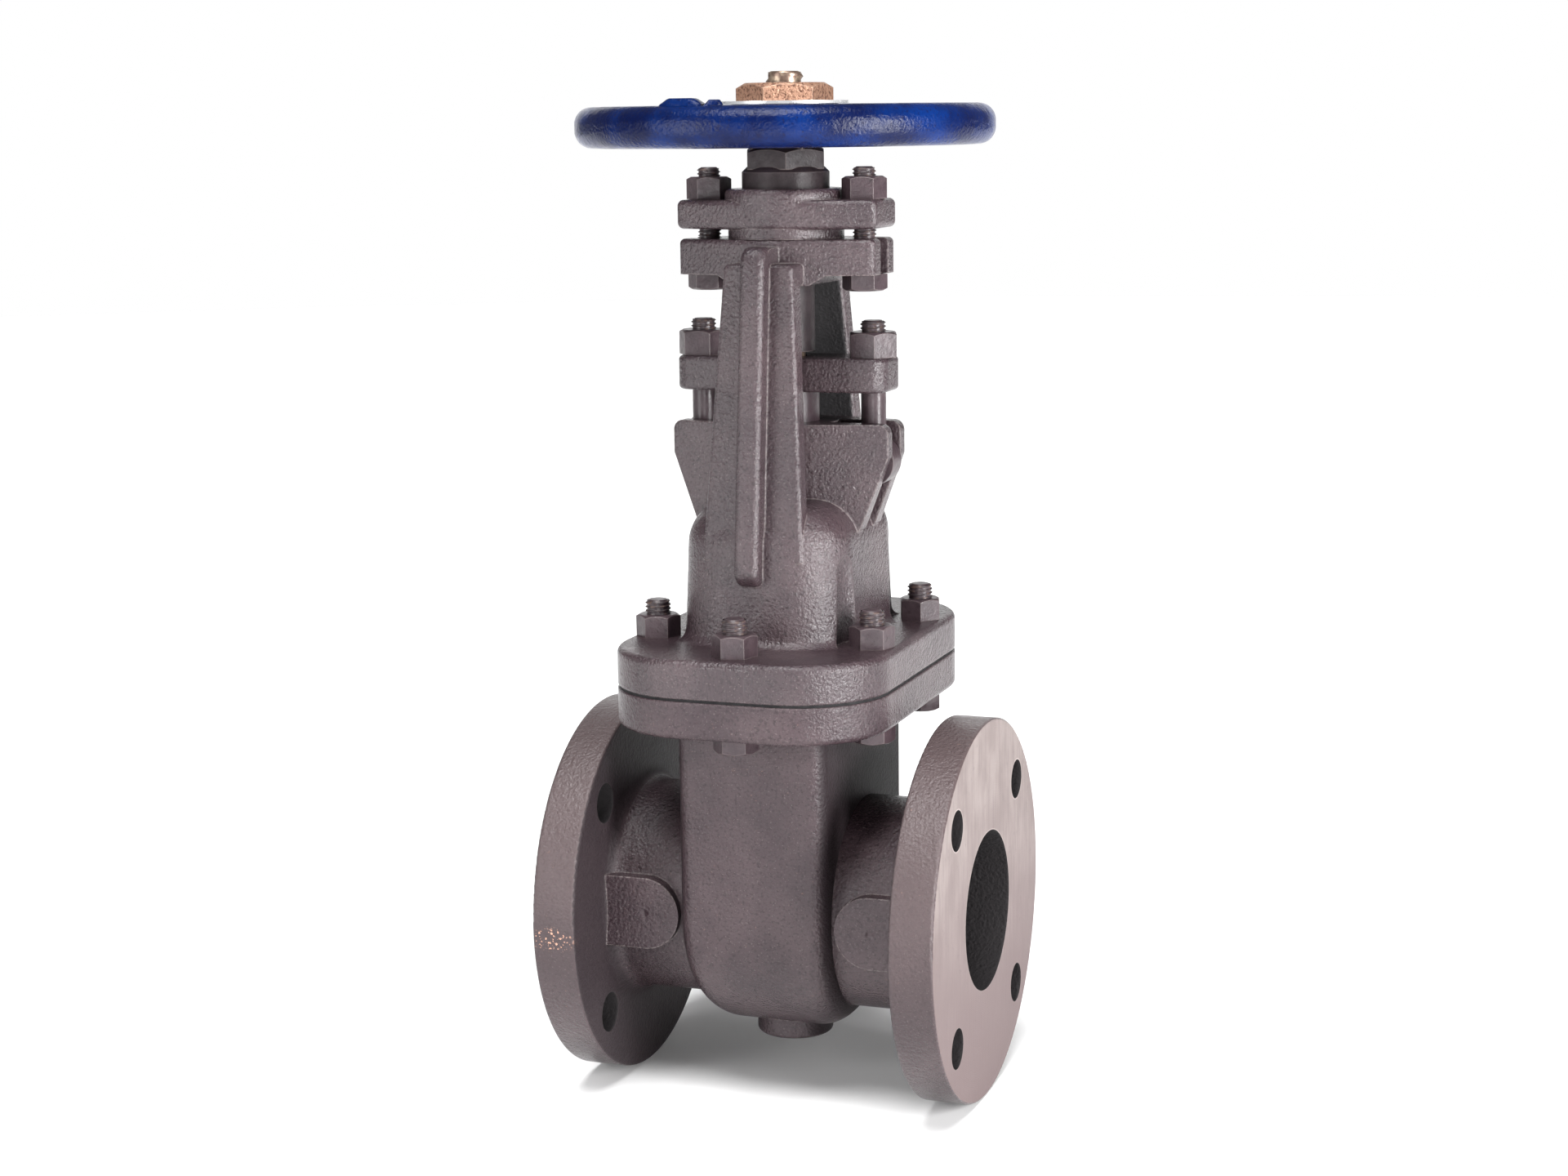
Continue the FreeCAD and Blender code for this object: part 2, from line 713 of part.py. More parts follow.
def yoke_arm():
    """T-shaped arm: a broad inner plate with a rib down the middle of its outside."""
    plate = tapered_post("arm_foot_half_width", "arm_head_half_width",
                         "arm_foot_front - arm_foot_depth", "arm_head_front - arm_head_depth",
                         "arm_foot_front", "arm_head_front",
                         "bonnet_top + arm_foot_height", "yoke_base + arm_head_rise")
    rib = tapered_post("rib_half_width", "rib_half_width",
                       "arm_foot_front - rib_root", "arm_head_front - rib_root",
                       "rib_foot_front", "rib_head_front",
                       "bonnet_top + rib_foot_height", "yoke_base + rib_head_rise")
    rib = rounded(rib, "rib_end_round", outer_end_edge)
    rib = rounded(rib, "rib_round", outer_side_edge)
    gusset = block("stem_x - rib_half_width", "stem_x + rib_half_width", "-gusset_reach",
                   "-yoke_ear_half_width / 2", "yoke_base", "yoke_base + gusset_rise")
    gusset = rounded(gusset, "rib_end_round", flat_front_edge)
    head = block("stem_x - arm_head_half_width", "stem_x + arm_head_half_width",
                 "-arm_head_front + arm_round", "-yoke_ear_half_width / 2", "yoke_base",
                 "yoke_base + arm_head_rise")
    head = rounded(head, "arm_round", lambda edge: edge.BoundBox.YLength > TOLERANCE)
    return fuse(rounded(plate, "arm_round", long_or_top_edge), rib, gusset, head)


def long_edge(edge):
    return edge.BoundBox.ZLength > number("yoke_height") / 2


def long_or_top_edge(edge):
    return long_edge(edge) or near(edge.BoundBox.ZMin, number("yoke_base + arm_head_rise"))


def outer_end_edge(edge):
    """True for the level edges across the outside of the rib, at its foot and head."""
    fronts = (number("rib_foot_front"), number("rib_head_front"))
    return across(edge) and any(near(-middle(edge).y, front) for front in fronts)


def outer_side_edge(edge):
    """True for the edges down both sides of the rib's outside, round ends included."""
    side = near(abs(middle(edge).x - number("stem_x")), number("rib_half_width"))
    outside = middle(edge).y < -number("arm_head_front + rib_root")
    return side and outside and edge.BoundBox.ZLength > TOLERANCE


def across(edge):
    """True for a level edge along X."""
    return edge.BoundBox.XLength > TOLERANCE and edge.BoundBox.ZLength < TOLERANCE


def flat_front_edge(edge):
    """True for the top edge of the gusset's front."""
    at_top = flat_at("yoke_base + gusset_rise")
    return across(edge) and at_top(edge) and near(edge.BoundBox.YMax, -number("gusset_reach"))


def yoke_plate():
    """Plate on the arms: a lozenge with slotted ears, thicker in the middle."""
    body = lozenge("yoke_ear_reach", "yoke_ear_half_width", "cap_boss_radius", "yoke_base",
                   "yoke_top", "stem_x", "yoke_ear_corner")
    soften(body, body.Tip, "yoke_edge_round", flat_at("yoke_top"))
    tools = []
    for side in SIDES.values():
        tool = new_body("underside")
        inner, outer = "yoke_haunch_foot", "yoke_ear_reach + overrun"
        points = [(inner, "yoke_base - overrun"), (outer, "yoke_base - overrun"),
                  (outer, "yoke_ear_base"), ("yoke_haunch_head", "yoke_ear_base")]
        spots = [("stem_x + %d * (%s)" % (side, x), z) for x, z in points]
        padded(tool, "XZ_Plane", spots, "-yoke_ear_reach", "yoke_ear_reach")
        tools.append(tool)
    return cut(body, *tools)


def bonnet_yoke():
    """One casting: joint flange, dome, stuffing box, gland ears, yoke arms and yoke plate."""
    box = cylinder("stuffing_box_radius", "box_top - dome_top + dome_crown", "stem_x",
                   z="dome_top - dome_crown")
    arm = yoke_arm()
    reliefs = []
    for side_x in (-1, 1):
        for side_y in (-1, 1):
            x = "stem_x + %d * side_bolt_reach" % side_x
            y = "%d * side_bolt_offset" % side_y
            reliefs.append(cylinder("bolt_relief_radius", "bolt_relief_height", x, y, "bonnet_top"))
            reliefs.append(ball("bolt_relief_radius", x, y, "bonnet_top + bolt_relief_height"))
    shell = cut(covered_flange(), *reliefs)
    outside = fuse(shell, box, gland_ears(), arm, mirrored(arm, (0, 1, 0)), yoke_plate())
    stem_way = cylinder("stem_radius + loose_gap", "yoke_top", "stem_x", z="bonnet_base")
    packing_bore = cylinder("packing_radius + running_gap", "stuffing_box_height + overrun", "stem_x",
                            z="dome_top")
    nut_bore = cylinder("sleeve_radius + loose_gap", "yoke_plate_thickness + 2 * overrun", "stem_x",
                        z="yoke_base - overrun")
    slots = []
    for side, x_low, x_high in (
            (SIDES["left"], "stem_x - yoke_ear_reach - overrun", "stem_x - cap_bolt_reach"),
            (SIDES["right"], "stem_x + cap_bolt_reach", "stem_x + yoke_ear_reach + overrun")):
        slots.append(block(x_low, x_high, "-yoke_slot_half_width", "yoke_slot_half_width",
                           "yoke_base - overrun", "yoke_top + overrun"))
        slots.append(cylinder("yoke_slot_half_width", "yoke_plate_thickness + 2 * overrun",
                              "stem_x + %d * cap_bolt_reach" % side, z="yoke_base - overrun"))
    pins = [cylinder("eye_pin_radius + running_gap", "2 * ear_back + 2 * overrun",
                     "stem_x + %d * eyebolt_reach" % side, "-ear_back - overrun", "eye_height", "y")
            for side in SIDES.values()]
    holes = bonnet_bolt_holes("bonnet_base - overrun", "bonnet_top + overrun")
    finish(cut(outside, dome_cavity(), stem_way, packing_bore, nut_bore, *slots, *pins, *holes),
           "bonnet_yoke")


def ball(radius, x, y, z):
    item = bind(doc.addObject("Part::Sphere", "ball"), Radius=radius)
    return place(item, x, y, z)


def bonnet_gasket():
    """Flat gasket with the outline of the joint."""
    inset = " - oblong_joint_round"
    sheet_part = oblong("oblong_half_length" + inset, "oblong_half_width" + inset,
                        "oblong_corner" + inset, "joint_height", "bonnet_base")
    opening = block("stem_x - cavity_half_length", "stem_x + cavity_half_length",
                    "-cavity_half_width", "cavity_half_width",
                    "joint_height - overrun", "bonnet_base + overrun")
    holes = bonnet_bolt_holes("joint_height - overrun", "bonnet_base + overrun")
    finish(cut(sheet_part, opening, *holes), "bonnet_gasket")


def tapered_gate(gap):
    """Space between the two leaning faces of the wedge, widened by a gap."""
    gate = doc.addObject("Part::Wedge", "gate")
    low = "wedge_half_thickness - wedge_spread + (%s)" % gap
    high = "wedge_half_thickness + wedge_spread + (%s)" % gap
    bind(gate, Ymin="-wedge_reach", Ymax="wedge_reach")
    bind(gate, Xmin="-(%s)" % low, Xmax=low, X2min="-(%s)" % high, X2max=high)
    bind(gate, Zmin="-wedge_reach", Zmax="wedge_reach")
    bind(gate, Z2min="-wedge_reach", Z2max="wedge_reach")
    place(gate, "stem_x", turn=FreeCAD.Rotation(FreeCAD.Vector(1, 0, 0), 90))
    return gate


def seat_rings():
    """Rings pressed into the body, with faces that lean like the wedge."""
    for label, start in (("seat_ring_inlet", "stem_x - cavity_half_length - seat_depth"),
                         ("seat_ring_outlet", "stem_x")):
        length = "cavity_half_length + seat_depth"
        ring = cylinder("seat_ring_radius - running_gap", length, start, along="x")
        way = cylinder("bore_radius", "face_to_face", "0", along="x")
        finish(cut(ring, way, tapered_gate("seat_gap")), label)


def wedge():
    """Solid wedge with a slotted hub for the head of the stem."""
    reach = "wedge_half_thickness + wedge_spread"
    disc = cylinder("wedge_radius", "2 * (%s)" % reach, "stem_x - (%s)" % reach, along="x")
    gate = common(disc, tapered_gate("0"))
    hub = slab("wedge_hub_half_thickness", "wedge_hub_half_width",
               "wedge_radius - wedge_hub_depth", "wedge_top")
    way = "wedge_hub_half_thickness + overrun"
    head_slot = slab(way, "stem_head_half_width + loose_gap",
                     "stem_foot", "stem_foot + stem_head_height + loose_gap")
    neck_slot = slab(way, "stem_radius + loose_gap", "stem_foot", "wedge_top + overrun")
    finish(cut(fuse(gate, hub), head_slot, neck_slot), "wedge")


def slab(half_x, half_y, low, high):
    """Box centred on the stem between two heights."""
    return block("stem_x - (%s)" % half_x, "stem_x + " + half_x, "-(%s)" % half_y, half_y, low, high)


def stem():
    """Stem with a flat-sided head in the wedge, a smooth shank and a slimmer screw above."""
    head = slab("stem_head_half_width", "stem_head_half_width",
                "stem_foot", "stem_foot + stem_head_height")
    shank = cylinder("stem_radius", "screw_start - stem_foot", "stem_x", z="stem_foot")
    screw = cylinder("thread_core_radius", "stem_top - bolt_point - screw_start", "stem_x",
                     z="screw_start")
    tip = cone("thread_core_radius", "thread_core_radius - bolt_point", "bolt_point", "stem_x",
               z="stem_top - bolt_point")
    finish(fuse(head, shank, screw, tip), "stem")


def packing_rings():
    """Packing pressed into the stuffing box."""
    body = new_body("packing_rings")
    inner = "stem_radius + running_gap"
    turned(body, [(inner, "0"), ("packing_radius", "0"), ("packing_radius", "packing_height"),
                  (inner, "packing_height")])
    finish(body, "packing_rings", "stem_x", z="dome_top")


def gland():
    """Follower: a sleeve in the stuffing box with a spigot up into the gland flange."""
    body = new_body("gland")
    inner = "stem_radius + loose_gap"
    outer = "packing_radius"
    spigot = "packing_radius - gland_spigot_step"
    shoulder = "gland_base - packing_top"
    top = "gland_base - packing_top + gland_spigot_height"
    turned(body, [(inner, "0"), (outer, "0"), (outer, shoulder), (spigot, shoulder),
                  (spigot, top), (inner, top)])
    finish(body, "gland", "stem_x", z="packing_top")


def gland_flange():
    """Round-ended bar that the two eyebolts pull down on the gland."""
    body = new_body("gland_bar")
    pad = padded(body, "XY_Plane", rectangle("gland_reach", "gland_half_width"),
                 "0", "gland_flange_thickness")
    ends = soften(body, pad, "gland_corner", upright)
    soften(body, ends, "gland_edge_round", flat_at("0", "gland_flange_thickness"))
    recess = cylinder("packing_radius - gland_spigot_step + running_gap",
                      "gland_spigot_height + overrun", z="-overrun")
    way = cylinder("stem_radius + gland_way_gap", "gland_flange_thickness + 2 * overrun", z="-overrun")
    holes = [cylinder("bolt_radius + bolt_hole_gap", "gland_flange_thickness + 2 * overrun",
                      "%d * eyebolt_reach" % side, z="-overrun") for side in SIDES.values()]
    finish(cut(body, recess, way, *holes), "gland_flange", "stem_x", z="gland_base")


def threaded_end(plain, length, core):
    """Shank from the origin up: plain at first, then down to the core of its thread, and pointed."""
    screw = cylinder(core, "(%s) - (%s) - bolt_point" % (length, plain), z=plain)
    point = cone(core, core + " - bolt_point", "bolt_point", z="(%s) - bolt_point" % length)
    if plain == "0":
        return [screw, point]
    return [cylinder("bolt_radius", plain), screw, point]


def nut(label, flats, height, core, x, y, z, angle):
    """Hexagon nut, corners turned off on top."""
    blank = hexagon(flats, height)
    hole = cylinder(core + " + running_gap", height + " + 2 * overrun", z="-overrun")
    finish(cut(blank, hole), label, x, y, z, angle)


def headed_bolt(label, plain, length, core, x, y, z, angle):
    """Hexagon bolt with its head hanging under the origin and its shank up."""
    head = hexagon("small_nut_flats", "bolt_head_height", z="-bolt_head_height", chamfer_up=False)
    finish(fuse(head, *threaded_end(plain, length, core)), label, x, y, z, angle)


def bonnet_bolts():
    """Six bolts up through the joint, each with a nut on top."""
    grip = "body_flange_thickness + gasket_thickness + bonnet_flange_thickness"
    for (index, x, y), angle in zip(bolt_places(), BONNET_NUT_TURNS):
        headed_bolt("bonnet_bolt_%d" % index, grip, grip + " + small_nut_height + bonnet_bolt_end",
                    "bolt_core_radius", x, y, "joint_height - body_flange_thickness", angle)
        nut("bonnet_nut_%d" % index, "small_nut_flats", "small_nut_height", "bolt_core_radius",
            x, y, "bonnet_top", angle)


def gland_bolts():
    """Eyebolts pinned between the ears, with a nut on the gland flange."""
    for side, sign in SIDES.items():
        x = "stem_x + %d * eyebolt_reach" % sign
        eye = cylinder("eye_radius", "2 * eye_half_thickness", y="-eye_half_thickness", along="y")
        plain = "gland_top - eye_height"
        hole = cylinder("eye_pin_radius + running_gap", "2 * eye_half_thickness + 2 * overrun",
                        y="-eye_half_thickness - overrun", along="y")
        shank = threaded_end(plain, plain + " + nut_height + gland_bolt_end", "bolt_core_radius")
        finish(cut(fuse(eye, *shank), hole), "gland_eyebolt_" + side, x, z="eye_height")
        pin = cylinder("eye_pin_radius", "2 * ear_back", x, "-ear_back", "eye_height", "y")
        finish(pin, "gland_pin_" + side)
        nut("gland_nut_" + side, "nut_flats", "nut_height", "bolt_core_radius", x, "0", "gland_top",
            GLAND_NUT_TURNS[side])


def yoke_cap():
    """Cap bolted on the yoke plate over the collar of the yoke nut."""
    ear_low, ear_high = "cap_ear_base - yoke_top", "cap_ear_top - yoke_top"
    blank = lozenge("cap_ear_reach", "cap_ear_half_width", "cap_boss_radius", ear_low,
                    "cap_boss_height", "0", "cap_round")
    wall = "cap_boss_radius + cap_boss_step"
    above = cylinder("cap_ear_reach + cap_ear_half_width", "cap_boss_height", z=ear_high)
    ring = cut(above, cylinder(wall, "cap_boss_height + 2 * overrun", z=ear_high + " - overrun"))
    body = rounded(cut(blank, ring), "cap_round", rim_edge(ear_low, ear_high, wall))
    foot = cylinder("cap_foot_radius", ear_low + " + overrun")
    chamber = cylinder("nut_neck_radius + thrust_collar_step + loose_gap",
                       "thrust_collar_height + 2 * loose_gap + overrun", z="-overrun")
    way = cylinder("nut_neck_radius + running_gap", "cap_boss_height + 2 * overrun", z="-overrun")
    holes = []
    for side in SIDES.values():
        x = "%d * cap_bolt_reach" % side
        holes.append(cylinder("cap_bolt_radius + bolt_hole_gap", "cap_boss_height + 2 * overrun", x,
                              z="-overrun"))
        holes.append(cylinder("spot_face_radius", "cap_boss_height", x, z=ear_high))
    finish(cut(fuse(body, foot), chamber, way, *holes), "yoke_cap", "stem_x", z="yoke_top")


def rim_edge(ear_low, ear_high, wall):
    """Test for the edges round the cap's underside, the tops of its ears and its boss."""
    all_round = flat_at(ear_low, "cap_boss_height")
    on_ears = flat_at(ear_high)
    size = number(wall)

    def test(edge):
        outside = math.hypot(middle(edge).x, middle(edge).y) > size + TOLERANCE
        return all_round(edge) or (on_ears(edge) and outside)
    return test


def cap_bolts():
    grip = "yoke_top - yoke_ear_base + cap_gap + cap_ear_thickness"
    for side, sign in SIDES.items():
        x = "stem_x + %d * cap_bolt_reach" % sign
        headed_bolt("cap_bolt_" + side, "0", grip + " + small_nut_height + cap_bolt_end",
                    "cap_core_radius", x, "0", "yoke_ear_base", CAP_BOLT_TURN)
        nut("cap_nut_" + side, "small_nut_flats", "small_nut_height", "cap_core_radius", x, "0",
            "cap_ear_top", CAP_NUT_TURNS[side])


def yoke_nut():
    """Nut that the wheel turns: sleeve, thrust collar, neck, hexagon, square and screwed end."""
    foot = "yoke_base - sleeve_drop"
    lift = "yoke_top + loose_gap"
    sleeve = cylinder("sleeve_radius", "cap_top - (%s)" % foot, "stem_x", z=foot)
    collar = cylinder("nut_neck_radius + thrust_collar_step", "thrust_collar_height", "stem_x",
                      z=lift)
    neck = cylinder("nut_neck_radius", "neck_top - nut_neck_chamfer - (%s)" % lift, "stem_x", z=lift)
    chamfer = cone("nut_neck_radius", "nut_neck_radius - nut_neck_chamfer", "nut_neck_chamfer",
                   "stem_x", z="neck_top - nut_neck_chamfer")
    hexagonal = place(hexagon("nut_hex_flats", "hex_top - neck_top + overrun"), "stem_x",
                      z="neck_top - overrun", turn=FreeCAD.Rotation(UP, YOKE_NUT_TURN))
    half = "nut_square_flats / 2"
    square = block("stem_x - " + half, "stem_x + " + half, "-" + half, half, "hex_top - overrun", "hub_top")
    end = cylinder("nut_end_radius", "hub_top + nut_end_rise - hex_top", "stem_x", z="hex_top")
    shank = cylinder("sleeve_bore", "cap_top + sleeve_bore_rise - (%s) + overrun" % foot, "stem_x",
                     z=foot + " - overrun")
    screw = cylinder("thread_core_radius + running_gap", "wheel_nut_top - (%s)" % foot, "stem_x",
                     z=foot)
    finish(cut(fuse(sleeve, collar, neck, chamfer, hexagonal, square, end), shank, screw),
           "yoke_nut")


def handwheel():
    """Wheel: a rounded rim, a hub with a square hole and oval spokes."""
    body = new_body("wheel_blank")
    inner = "wheel_radius - wheel_rim_width"
    half = "wheel_hub_height / 2"
    low = half + " - wheel_rim_height / 2"
    high = half + " + wheel_rim_height / 2"
    ring = turned(body, [(inner, low), ("wheel_radius", low), ("wheel_radius", high), (inner, high)])
    soften(body, ring, "wheel_rim_round", flat_at(low, high))
    hub = turned(body, [("0", "0"), ("wheel_hub_radius", "0"),
                        ("wheel_hub_radius", "wheel_hub_height"), ("0", "wheel_hub_height")])
    reach = "wheel_radius - wheel_rim_width / 2"
    spoke_sketch = outline(body, "YZ_Plane", [
        ("-spoke_half_width", half), ("-spoke_half_width / 2", half + " - spoke_half_height"),
        ("spoke_half_width / 2", half + " - spoke_half_height"), ("spoke_half_width", half),
        ("spoke_half_width / 2", half + " + spoke_half_height"),
        ("-spoke_half_width / 2", half + " + spoke_half_height")])
    spoke = feature(body, "Pad", spoke_sketch, Length=reach)
    pattern = body.newObject("PartDesign::PolarPattern", "spokes")
    pattern.Originals = [spoke]
    pattern.Axis = (hub.Profile[0], ["V_Axis"])
    pattern.Angle = 360
    bind(pattern, Occurrences="spoke_count")
    body.Tip = pattern
    flats = "nut_square_flats / 2 + loose_gap"
    hole = block("-(%s)" % flats, flats, "-(%s)" % flats, flats, "-overrun", "wheel_hub_height + overrun")
    finish(cut(body, hole), "handwheel", "stem_x", z="hub_base")


def wheel_plate_and_nut():
    """Thin washer plate and the nut that holds the wheel."""
    plate = cut(cylinder("wheel_plate_radius", "wheel_plate_thickness"),
                cylinder("nut_end_radius + loose_gap", "wheel_plate_thickness + 2 * overrun", z="-overrun"))
    finish(plate, "wheel_plate", "stem_x", z="hub_top")
    blank = hexagon("wheel_nut_flats", "wheel_nut_height")
    hole = cylinder("nut_end_radius + running_gap", "wheel_nut_height + 2 * overrun", z="-overrun")
    finish(cut(blank, hole), "wheel_nut", "stem_x", z="plate_top", angle=WHEEL_NUT_TURN)


def check_and_write():
    """Refuse a failed object or shape, then write one file for each sub-part."""
    doc.recompute()
    for item in doc.Objects:
        if {"Invalid", "Error"} & set(item.State):
            raise RuntimeError("%s (%s) failed" % (item.Label, item.Name))
    for item in finished:
        if item.Shape.isNull() or not item.Shape.isValid():
            raise RuntimeError("%s has no sound shape" % item.Label)
    os.makedirs("parts", exist_ok=True)
    for item in finished:
        item.Shape.exportStep("parts/%s.step" % item.Label)
        print("%-22s %12.1f mm3" % (item.Label, item.Shape.Volume))


valve_body()
bonnet_yoke()
bonnet_gasket()
seat_rings()
wedge()
stem()
packing_rings()
gland()
gland_flange()
bonnet_bolts()
gland_bolts()
yoke_cap()
cap_bolts()
yoke_nut()
handwheel()
wheel_plate_and_nut()
check_and_write()
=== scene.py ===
"""Looks of the flanged gate valve: finishes, screw threads, arrow, lights, floor and camera.

Lengths are in metres in the frame of the model: +X along the bore, +Z up the stem, with the
origin at the centre of the inlet flange's face.
"""

from collections import namedtuple
import math

import bpy
from mathutils import Matrix, Vector


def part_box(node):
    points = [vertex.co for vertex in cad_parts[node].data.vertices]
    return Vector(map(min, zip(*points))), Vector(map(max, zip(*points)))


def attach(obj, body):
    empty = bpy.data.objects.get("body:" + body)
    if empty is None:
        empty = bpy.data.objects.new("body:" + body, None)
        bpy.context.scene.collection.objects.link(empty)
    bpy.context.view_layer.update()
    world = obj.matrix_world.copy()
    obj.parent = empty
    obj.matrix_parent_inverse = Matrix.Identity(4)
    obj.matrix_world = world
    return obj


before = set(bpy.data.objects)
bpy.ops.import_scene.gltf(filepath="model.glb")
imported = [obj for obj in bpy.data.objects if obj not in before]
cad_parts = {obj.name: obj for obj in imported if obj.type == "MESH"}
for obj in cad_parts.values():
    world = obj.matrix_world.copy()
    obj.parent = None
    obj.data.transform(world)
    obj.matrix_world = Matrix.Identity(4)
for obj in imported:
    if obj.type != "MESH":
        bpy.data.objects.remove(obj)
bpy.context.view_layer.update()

MM = 0.001

# Sizes that the finishes and threads share with the model
FACE_TO_FACE = 203.2 * MM
STEM_X = FACE_TO_FACE / 2
STEM_LIFT = 85.7 * MM
BORE_RADIUS = 39.6 * MM
FLANGE_RADIUS = 95.25 * MM
FLANGE_THICKNESS = 22.0 * MM
FLANGE_HOLE_RADIUS = 9.9 * MM
BOLT_CIRCLE_RADIUS = 76.2 * MM
NECK_CUT_REACH = 39.54 * MM
NECK_CUT_HALF_WIDTH = 2.6 * MM
PAD_REACH = 58.5 * MM
JOINT_FRONT = -97.0 * MM
GROUND_HALF_WIDTH = 12 * MM
BODY_FLANGE_FOOT = 99.0 * MM
YOKE_ROOT_LOW, YOKE_ROOT_HIGH = 205 * MM, 225 * MM
RIM_MIDDLE_RADIUS = 91.1 * MM
BONNET_BOLTS = 6

# Screws: radii at the bottom and the crest of the ridges, and their pitch
Screw = namedtuple("Screw", "root crest pitch")
BOLT_SCREW = Screw(root=5.45 * MM, crest=6.25 * MM, pitch=1.95 * MM)
CAP_BOLT_SCREW = Screw(root=4.95 * MM, crest=5.7 * MM, pitch=1.8 * MM)
STEM_SCREW = Screw(root=7.9 * MM, crest=9.1 * MM, pitch=6.35 * MM)
# A ridge over one pitch, as shares of the pitch and of the height, and the share of the pitch
# over which it sinks away at both ends
RIDGE = ((0.0, 0), (0.20, 0), (0.42, 1), (0.58, 1), (0.80, 0))
RIDGE_RUN_OUT = 0.35
THREAD_STEPS = 40
# How far threads start and end below the tops of nuts, bolts and stem, those under the cap
# below the yoke's top and the cap nut's foot, and the stem's foot below the wheel nut's top
# when the stem is up
THREAD_END = 0.5 * MM
CAP_GAP_THREAD_LOW, CAP_GAP_THREAD_HIGH = 1.0 * MM, 6.0 * MM
STEM_THREAD_END, STEM_THREAD_IN_NUT = 0.4 * MM, 9.0 * MM

# Arrow on the wheel's rim: its section as shares of half width and height, its depth in the rim,
# the share of its length that slopes at each end, and how much of its width the point loses
MARK_SECTION = ((-1.0, 0.0), (-0.86, 0.75), (-0.6, 1.0), (0.6, 1.0), (0.86, 0.75), (1.0, 0.0))
MARK_ROOT = 3.0 * MM
MARK_STEPS = 16
MARK_SLOPE = 0.22
MARK_POINT = 0.9

# How a cloudy pattern is cut for a drift, and the cosines at which an edge starts and is sharp
CLOUD_LOW, CLOUD_HIGH = 0.3, 0.7
EDGE_START, EDGE_SHARP = 0.995, 0.90

# Cast skins: broad waves, pebbles and grit, with their sizes and heights
Skin = namedtuple("Skin", "wave wave_height wave_strength pebble pebble_smooth pebble_height "
                          "grit grit_height")
SAND_SKIN = Skin(wave=24 * MM, wave_height=0.7 * MM, wave_strength=0.6,
                 pebble=2.0 * MM, pebble_smooth=0.7, pebble_height=0.36 * MM,
                 grit=1.2 * MM, grit_height=0.62 * MM)
WHEEL_SKIN = Skin(wave=18 * MM, wave_height=0.9 * MM, wave_strength=0.5,
                  pebble=1.9 * MM, pebble_smooth=0.8, pebble_height=0.24 * MM,
                  grit=1.1 * MM, grit_height=0.32 * MM)
PEBBLE_STRENGTH = 0.8
GRIT_STRENGTH = 0.9

# Cosines between a wall and the way out from the stem, or along the bore, where the painted
# shade starts and is full, and how much of it there is
IN_YOKE_START, IN_YOKE_FULL, IN_YOKE_SHARE = -0.35, -0.75, 0.9
SHELTERED_START, SHELTERED_FULL, SHELTERED_SHARE = 0.45, 0.9, 0.8

# Roughness where the paint ran off an edge, in the painted shade, or where paint is missing,
# and how metallic the end faces are
WET_EDGE_ROUGHNESS = 0.17
IN_YOKE_ROUGHNESS = 0.65
SHELTERED_ROUGHNESS = 0.62
MACHINED_ROUGHNESS = 0.5
INSIDE_ROUGHNESS = 0.8
MACHINED_METALLIC = 0.3

# Colours of the casting's paint, of what shows through it, and of painted shade and glints on it
PAINT = (0.033, 0.0208, 0.0250)
PAINT_LIGHT = (0.053, 0.0350, 0.0395)
# Dark paint in pits and grime, and painted shade on the walls between the flanges
PAINT_DEEP_AND_SHADE = (0.012, 0.007, 0.009)
# Pale wear on edges, and the colour of painted glints and sparkle
PAINT_WORN_AND_GLINT = (0.21, 0.175, 0.17)
# Paler paint on the flanges' rims, with painted light towards the top
PAINT_ON_RIM = (0.072, 0.052, 0.053)
# Painted shade on the yoke's faces that look in at the stem
YOKE_SHADE = (0.006, 0.006, 0.007)
RUST_GRAIN = (0.55, 0.30, 0.21)
RUST_FAINT = (0.17, 0.095, 0.075)
# The rusty patch on the inlet flange: its middle, in a place scaled to make it oblong, and how
# far from it the grains start and are full
RUST_SCALE = (0.8, 1.0, 1.7)
RUST_MIDDLE = (8.0 * MM, -93.0 * MM, -9.0 * MM)
RUST_START, RUST_FULL = 12 * MM, 6 * MM

# Colours of the machined end faces, and the near-black inside, painted as shade
MACHINED = (0.168, 0.132, 0.126)
MACHINED_LIGHT = (0.25, 0.209, 0.198)
MACHINED_STREAK = (0.125, 0.095, 0.092)
MACHINED_STAIN = (0.095, 0.072, 0.072)
MACHINED_EDGE = (0.45, 0.39, 0.37)
# Painted shade on the lower part of the end faces
MACHINED_LOW_SHADE = (0.118, 0.080, 0.080)
INSIDE = (0.010, 0.008, 0.009)
INSIDE_LIGHT = (0.022, 0.017, 0.017)

# Colours of the smaller pieces, darker and lighter
BOLT_PAINT = (0.031, 0.020, 0.024), (0.047, 0.031, 0.036)
DARK_PAINT = (0.013, 0.0085, 0.010), (0.023, 0.016, 0.018)
THREAD_STEEL = (0.036, 0.028, 0.031), (0.085, 0.055, 0.047)
ENAMEL = (0.0011, 0.0040, 0.032), (0.0013, 0.015, 0.096)
ENAMEL_PIT = (0.004, 0.005, 0.028)
BRONZE = (0.11, 0.046, 0.028), (0.45, 0.252, 0.167)
BRONZE_WORN = (0.63, 0.45, 0.342)
STEM_BRONZE = (0.20, 0.135, 0.105), (0.46, 0.36, 0.27)
SHEET = (0.80, 0.80, 0.81), (0.92, 0.92, 0.92)
GASKET = (0.004, 0.004, 0.005), (0.012, 0.011, 0.012)
GRAPHITE = (0.02, 0.02, 0.022), (0.06, 0.06, 0.065)
FLOOR = (0.86, 0.86, 0.86), (0.90, 0.90, 0.90)

